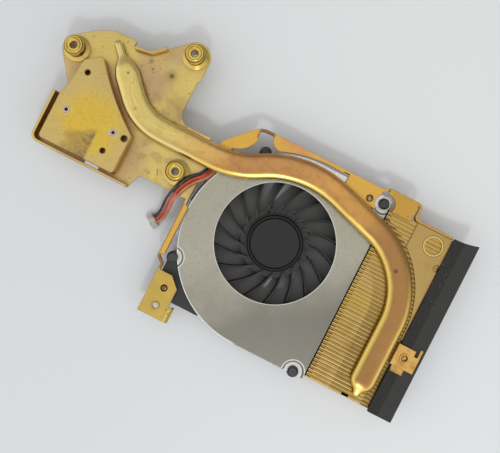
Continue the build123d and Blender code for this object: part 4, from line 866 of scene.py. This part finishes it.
def housing_plastic():
    plastic = Shader("housing_plastic", roughness=0.40, Anisotropic=1.0, IOR=1.9, Specular_IOR_Level=1.0)
    round_floor = plastic.spot(0, 0, FAN_FLOOR_R, soft=0.02)
    floor = plastic.times(round_floor, plastic.fade(plastic.axes["Z"], *FAN_FLOOR_Z))
    plastic.paint(PLASTIC)
    plastic.paint(PLASTIC_WORN, plastic.mottle(6, low=0.4, high=0.7))
    plastic.paint(FAN_FLOOR, floor)
    plastic.set("Specular Tint", plastic.blend(HOUSING_TINT, FAN_FLOOR_TINT, floor, "RGBA"))
    plastic.set("Tangent", plastic.node("VectorMath", plastic.flat(), operation="NORMALIZE").outputs[0])
    plastic.bump(plastic.noise(0.25, detail=2), depth=0.01, strength=0.3)
    return plastic


def wheel_plastic():
    plastic = Shader("wheel_plastic", Specular_IOR_Level=0.42)
    hub = plastic.spot(0, 0, HUB_BLACK_R, soft=0.02)
    plastic.paint(BLADE_BLACK)
    plastic.paint(HUB_DISC, plastic.spot(0, 0, HUB_DISC_R, soft=0.03))
    plastic.paint(HUB_BLACK, hub)
    plastic.set("Roughness", plastic.band(hub, 0.0, 1.0, BLADE_ROUGHNESS, HUB_ROUGHNESS))
    plastic.bump(plastic.noise(0.25, detail=2), depth=0.01, strength=0.5)
    return plastic


# Foam gasket: a fuzzy inner band with lint on it and a smooth outer band
FOAM = (0.022, 0.021, 0.019)
FOAM_FUZZ = (0.040, 0.037, 0.036)
FOAM_FUZZ_RANGE = (0.45, 0.75)
FOAM_LINT = (0.13, 0.11, 0.12)
FOAM_LINT_Y = (-14, 6)
FOAM_SKIN = (0.040, 0.038, 0.035)
FOAM_SKIN_X = (53.4, 53.7)
FOAM_RELIEF = 1.15


def gasket_foam():
    foam = Shader("gasket_foam", roughness=0.75, Specular_IOR_Level=0.35)
    outer = foam.fade(foam.axes["X"], *FOAM_SKIN_X)
    fuzz = foam.noise(0.22, detail=5)
    foam.paint(FOAM)
    foam.paint(FOAM_FUZZ, foam.band(fuzz, *FOAM_FUZZ_RANGE))
    tufts = foam.mottle(0.45, low=0.62, high=0.70, detail=2)
    patches = foam.mottle(5, low=0.42, high=0.62, detail=2)
    foam.paint(FOAM_LINT, tufts, patches, foam.fade(foam.axes["Y"], *FOAM_LINT_Y), depth=0.8)
    foam.paint(FOAM_SKIN, outer)
    foam.bump(foam.times(fuzz, foam.math("SUBTRACT", FOAM_RELIEF, outer)), depth=0.12, strength=0.8)
    return foam


# Steel pins with painted shade in their bores, bronzed screws and the white plug
PIN_STEEL = (0.70, 0.68, 0.64)
PIN_DULL = (0.50, 0.48, 0.43)
PIN_BORE_R = 0.65
SCREW_BRONZE = (0.42, 0.29, 0.16)
SCREW_DARK = (0.20, 0.13, 0.07)
PLUG_WHITE = (0.53, 0.51, 0.44)
PLUG_GREY = (0.36, 0.34, 0.29)


def pin_steel():
    steel = Shader("pin_steel", metallic=1.0)
    steel.paint(PIN_STEEL)
    steel.paint(PIN_DULL, steel.noise(0.8))
    # Painted shade in each pin's bore
    for x, y in BLOCK_PINS:
        steel.paint(HOLE_SHADE, steel.spot(x, y, PIN_BORE_R, soft=0.1))
    steel.polish(0.5, smooth=0.22, rough=0.4)
    steel.bump(steel.noise(0.2, detail=2), depth=0.01, strength=0.4)
    return steel


def screw_bronze():
    bronze = Shader("screw_bronze", metallic=1.0)
    bronze.paint(SCREW_BRONZE)
    bronze.paint(SCREW_DARK, bronze.mottle(0.9, low=0.4, high=0.6, detail=3))
    bronze.polish(0.5, smooth=0.24, rough=0.4)
    bronze.bump(bronze.noise(0.2, detail=2), depth=0.01, strength=0.4)
    return bronze


def plug_plastic():
    plastic = Shader("plug_plastic", roughness=0.45)
    plastic.paint(PLUG_WHITE)
    plastic.paint(PLUG_GREY, plastic.mottle(1.5, low=0.4, high=0.65, detail=3))
    plastic.bump(plastic.noise(0.2, detail=2), depth=0.01, strength=0.5)
    return plastic


# Wire insulation: clean and dusty colour of each wire
INSULATION = {
    "red": ((0.55, 0.065, 0.035), (0.40, 0.045, 0.03)),
    "black": ((0.020, 0.024, 0.022), (0.04, 0.045, 0.04)),
    "orange": ((0.60, 0.19, 0.06), (0.45, 0.12, 0.045)),
}


def wire_skin(colour, clean, dusty):
    insulation = Shader(f"{colour}_insulation", roughness=0.42)
    insulation.paint(clean)
    insulation.paint(dusty, insulation.mottle(1.6, low=0.4, high=0.7, detail=3))
    insulation.bump(insulation.noise(0.3, detail=2), depth=0.01, strength=0.4)
    return insulation


# Motor pieces under the hub: clean and dull colour of each finish, and its pieces
MOTOR_METALS = {
    "motor_steel": ((0.50, 0.50, 0.50), (0.35, 0.35, 0.36), ("rotor_yoke", "fan_shaft", "stator_core")),
    "motor_copper": ((0.75, 0.38, 0.16), (0.55, 0.25, 0.10), ("stator_coils",)),
    "motor_bearing": ((0.60, 0.42, 0.20), (0.45, 0.30, 0.14), ("bearing_sleeve",)),
}
MOTOR_PLASTICS = {
    "motor_magnet": ((0.05, 0.05, 0.05), (0.08, 0.08, 0.08), ("rotor_magnet",)),
    "motor_laminate": ((0.04, 0.16, 0.07), (0.03, 0.11, 0.05), ("motor_board",)),
    "motor_pad": ((0.75, 0.74, 0.70), (0.60, 0.60, 0.56), ("thrust_pad",)),
}


def motor_finish(name, metallic, clean, dull):
    finish = Shader(name, metallic=metallic)
    finish.paint(clean)
    finish.paint(dull, finish.noise(0.6))
    finish.polish(0.4, smooth=0.3, rough=0.5)
    finish.bump(finish.noise(0.2, detail=2), depth=0.01, strength=0.4)
    return finish


sheet_brass().dress("mounting_plate")
clip_brass().dress("outlet_clip", "clip_rivet")
pipe_copper().dress("copper_pipe")
block_metal().dress("contact_block")
for name, (x, y) in BUSHES.items():
    bush_metal(name, x, y).dress(name)
fin_brass().dress("fin_stack")
fin_plate_brass().dress("fin_top_plate")
cover_steel().dress("fan_cover")
housing_plastic().dress("fan_housing")
wheel_plastic().dress("impeller")
gasket_foam().dress("exhaust_gasket")
pin_steel().dress("block_pins")
screw_bronze().dress("fan_screws")
plug_plastic().dress("wire_connector")
for colour, (clean, dusty) in INSULATION.items():
    wire_skin(colour, clean, dusty).dress(f"fan_wire_{colour}")
for finishes, metallic in ((MOTOR_METALS, 1.0), (MOTOR_PLASTICS, 0.0)):
    for name, (clean, dull, pieces) in finishes.items():
        motor_finish(name, metallic, clean, dull).dress(*pieces)

# Floor painted lighter to the right as painted light, key lamp and a plain room around them
FLOOR_LIT = (0.80, 0.81, 0.81)
FLOOR_SHADE = (0.74, 0.75, 0.76)
FLOOR_LIGHT_RUN = (-80, 60)
FLOOR_HALF = 4.0
FLOOR_Z = -0.05 * MM
KEY_WAY = Vector((0.25, -0.50, 0.83))
KEY_AWAY = 0.62
KEY_SIZE = 0.08
KEY_POWER = 0.66
KEY_TINT = (0.88, 0.94, 1.0)
SKY_RISE = (0.25, 0.50)
SKY_EDGE = 0.55
RING_TURN = (-0.10, 0.40)
RING_BRIGHT = 1.16
RING_DIM = 0.40
CROWN_TURN = (-0.32, 0.05)
CROWN_LOW = 0.66
CROWN_HIGH = 0.92
CROWN_START = (0.80, 0.93)


def make_floor():
    mesh = bpy.data.meshes.new("floor")
    builder = bmesh.new()
    bmesh.ops.create_grid(builder, x_segments=1, y_segments=1, size=FLOOR_HALF)
    builder.to_mesh(mesh)
    builder.free()
    floor = link("floor", mesh)
    floor.location.z = FLOOR_Z
    paper = Shader("floor_paper", roughness=0.8)
    # Painted light: the paper runs from painted shade on the left to lighter on the right
    paper.paint(FLOOR_SHADE)
    paper.paint(FLOOR_LIT, paper.fade(paper.lean(*VIEW_RIGHT), *FLOOR_LIGHT_RUN))
    mesh.materials.append(paper.material)


def make_lamp():
    data = bpy.data.lights.new("key", "AREA")
    data.shape = "DISK"
    data.size = KEY_SIZE
    data.energy = KEY_POWER
    data.color = KEY_TINT
    lamp = link("key", data)
    lamp.location = KEY_WAY.normalized() * KEY_AWAY
    lamp.rotation_euler = KEY_WAY.to_track_quat("Z", "Y").to_euler()


def make_world():
    """Light from all around: dimmer low down, brightest halfway up on one side, softer overhead."""
    world = bpy.data.worlds.new("room")
    scene.world = world
    world.use_nodes = True
    room = Graph(world.node_tree)
    _, back, rise = room.node("SeparateXYZ", room.node("TexCoord").outputs["Generated"]).outputs
    ring = room.band(back, *RING_TURN, RING_BRIGHT, RING_DIM)
    crown = room.band(back, *CROWN_TURN, CROWN_LOW, CROWN_HIGH)
    walls = room.blend(SKY_EDGE, ring, room.band(rise, *SKY_RISE))
    level = room.blend(walls, crown, room.band(rise, *CROWN_START))
    background = world.node_tree.nodes["Background"]
    room.feed(background.inputs["Color"], (1, 1, 1))
    room.feed(background.inputs["Strength"], level)


make_floor()
make_lamp()
make_world()
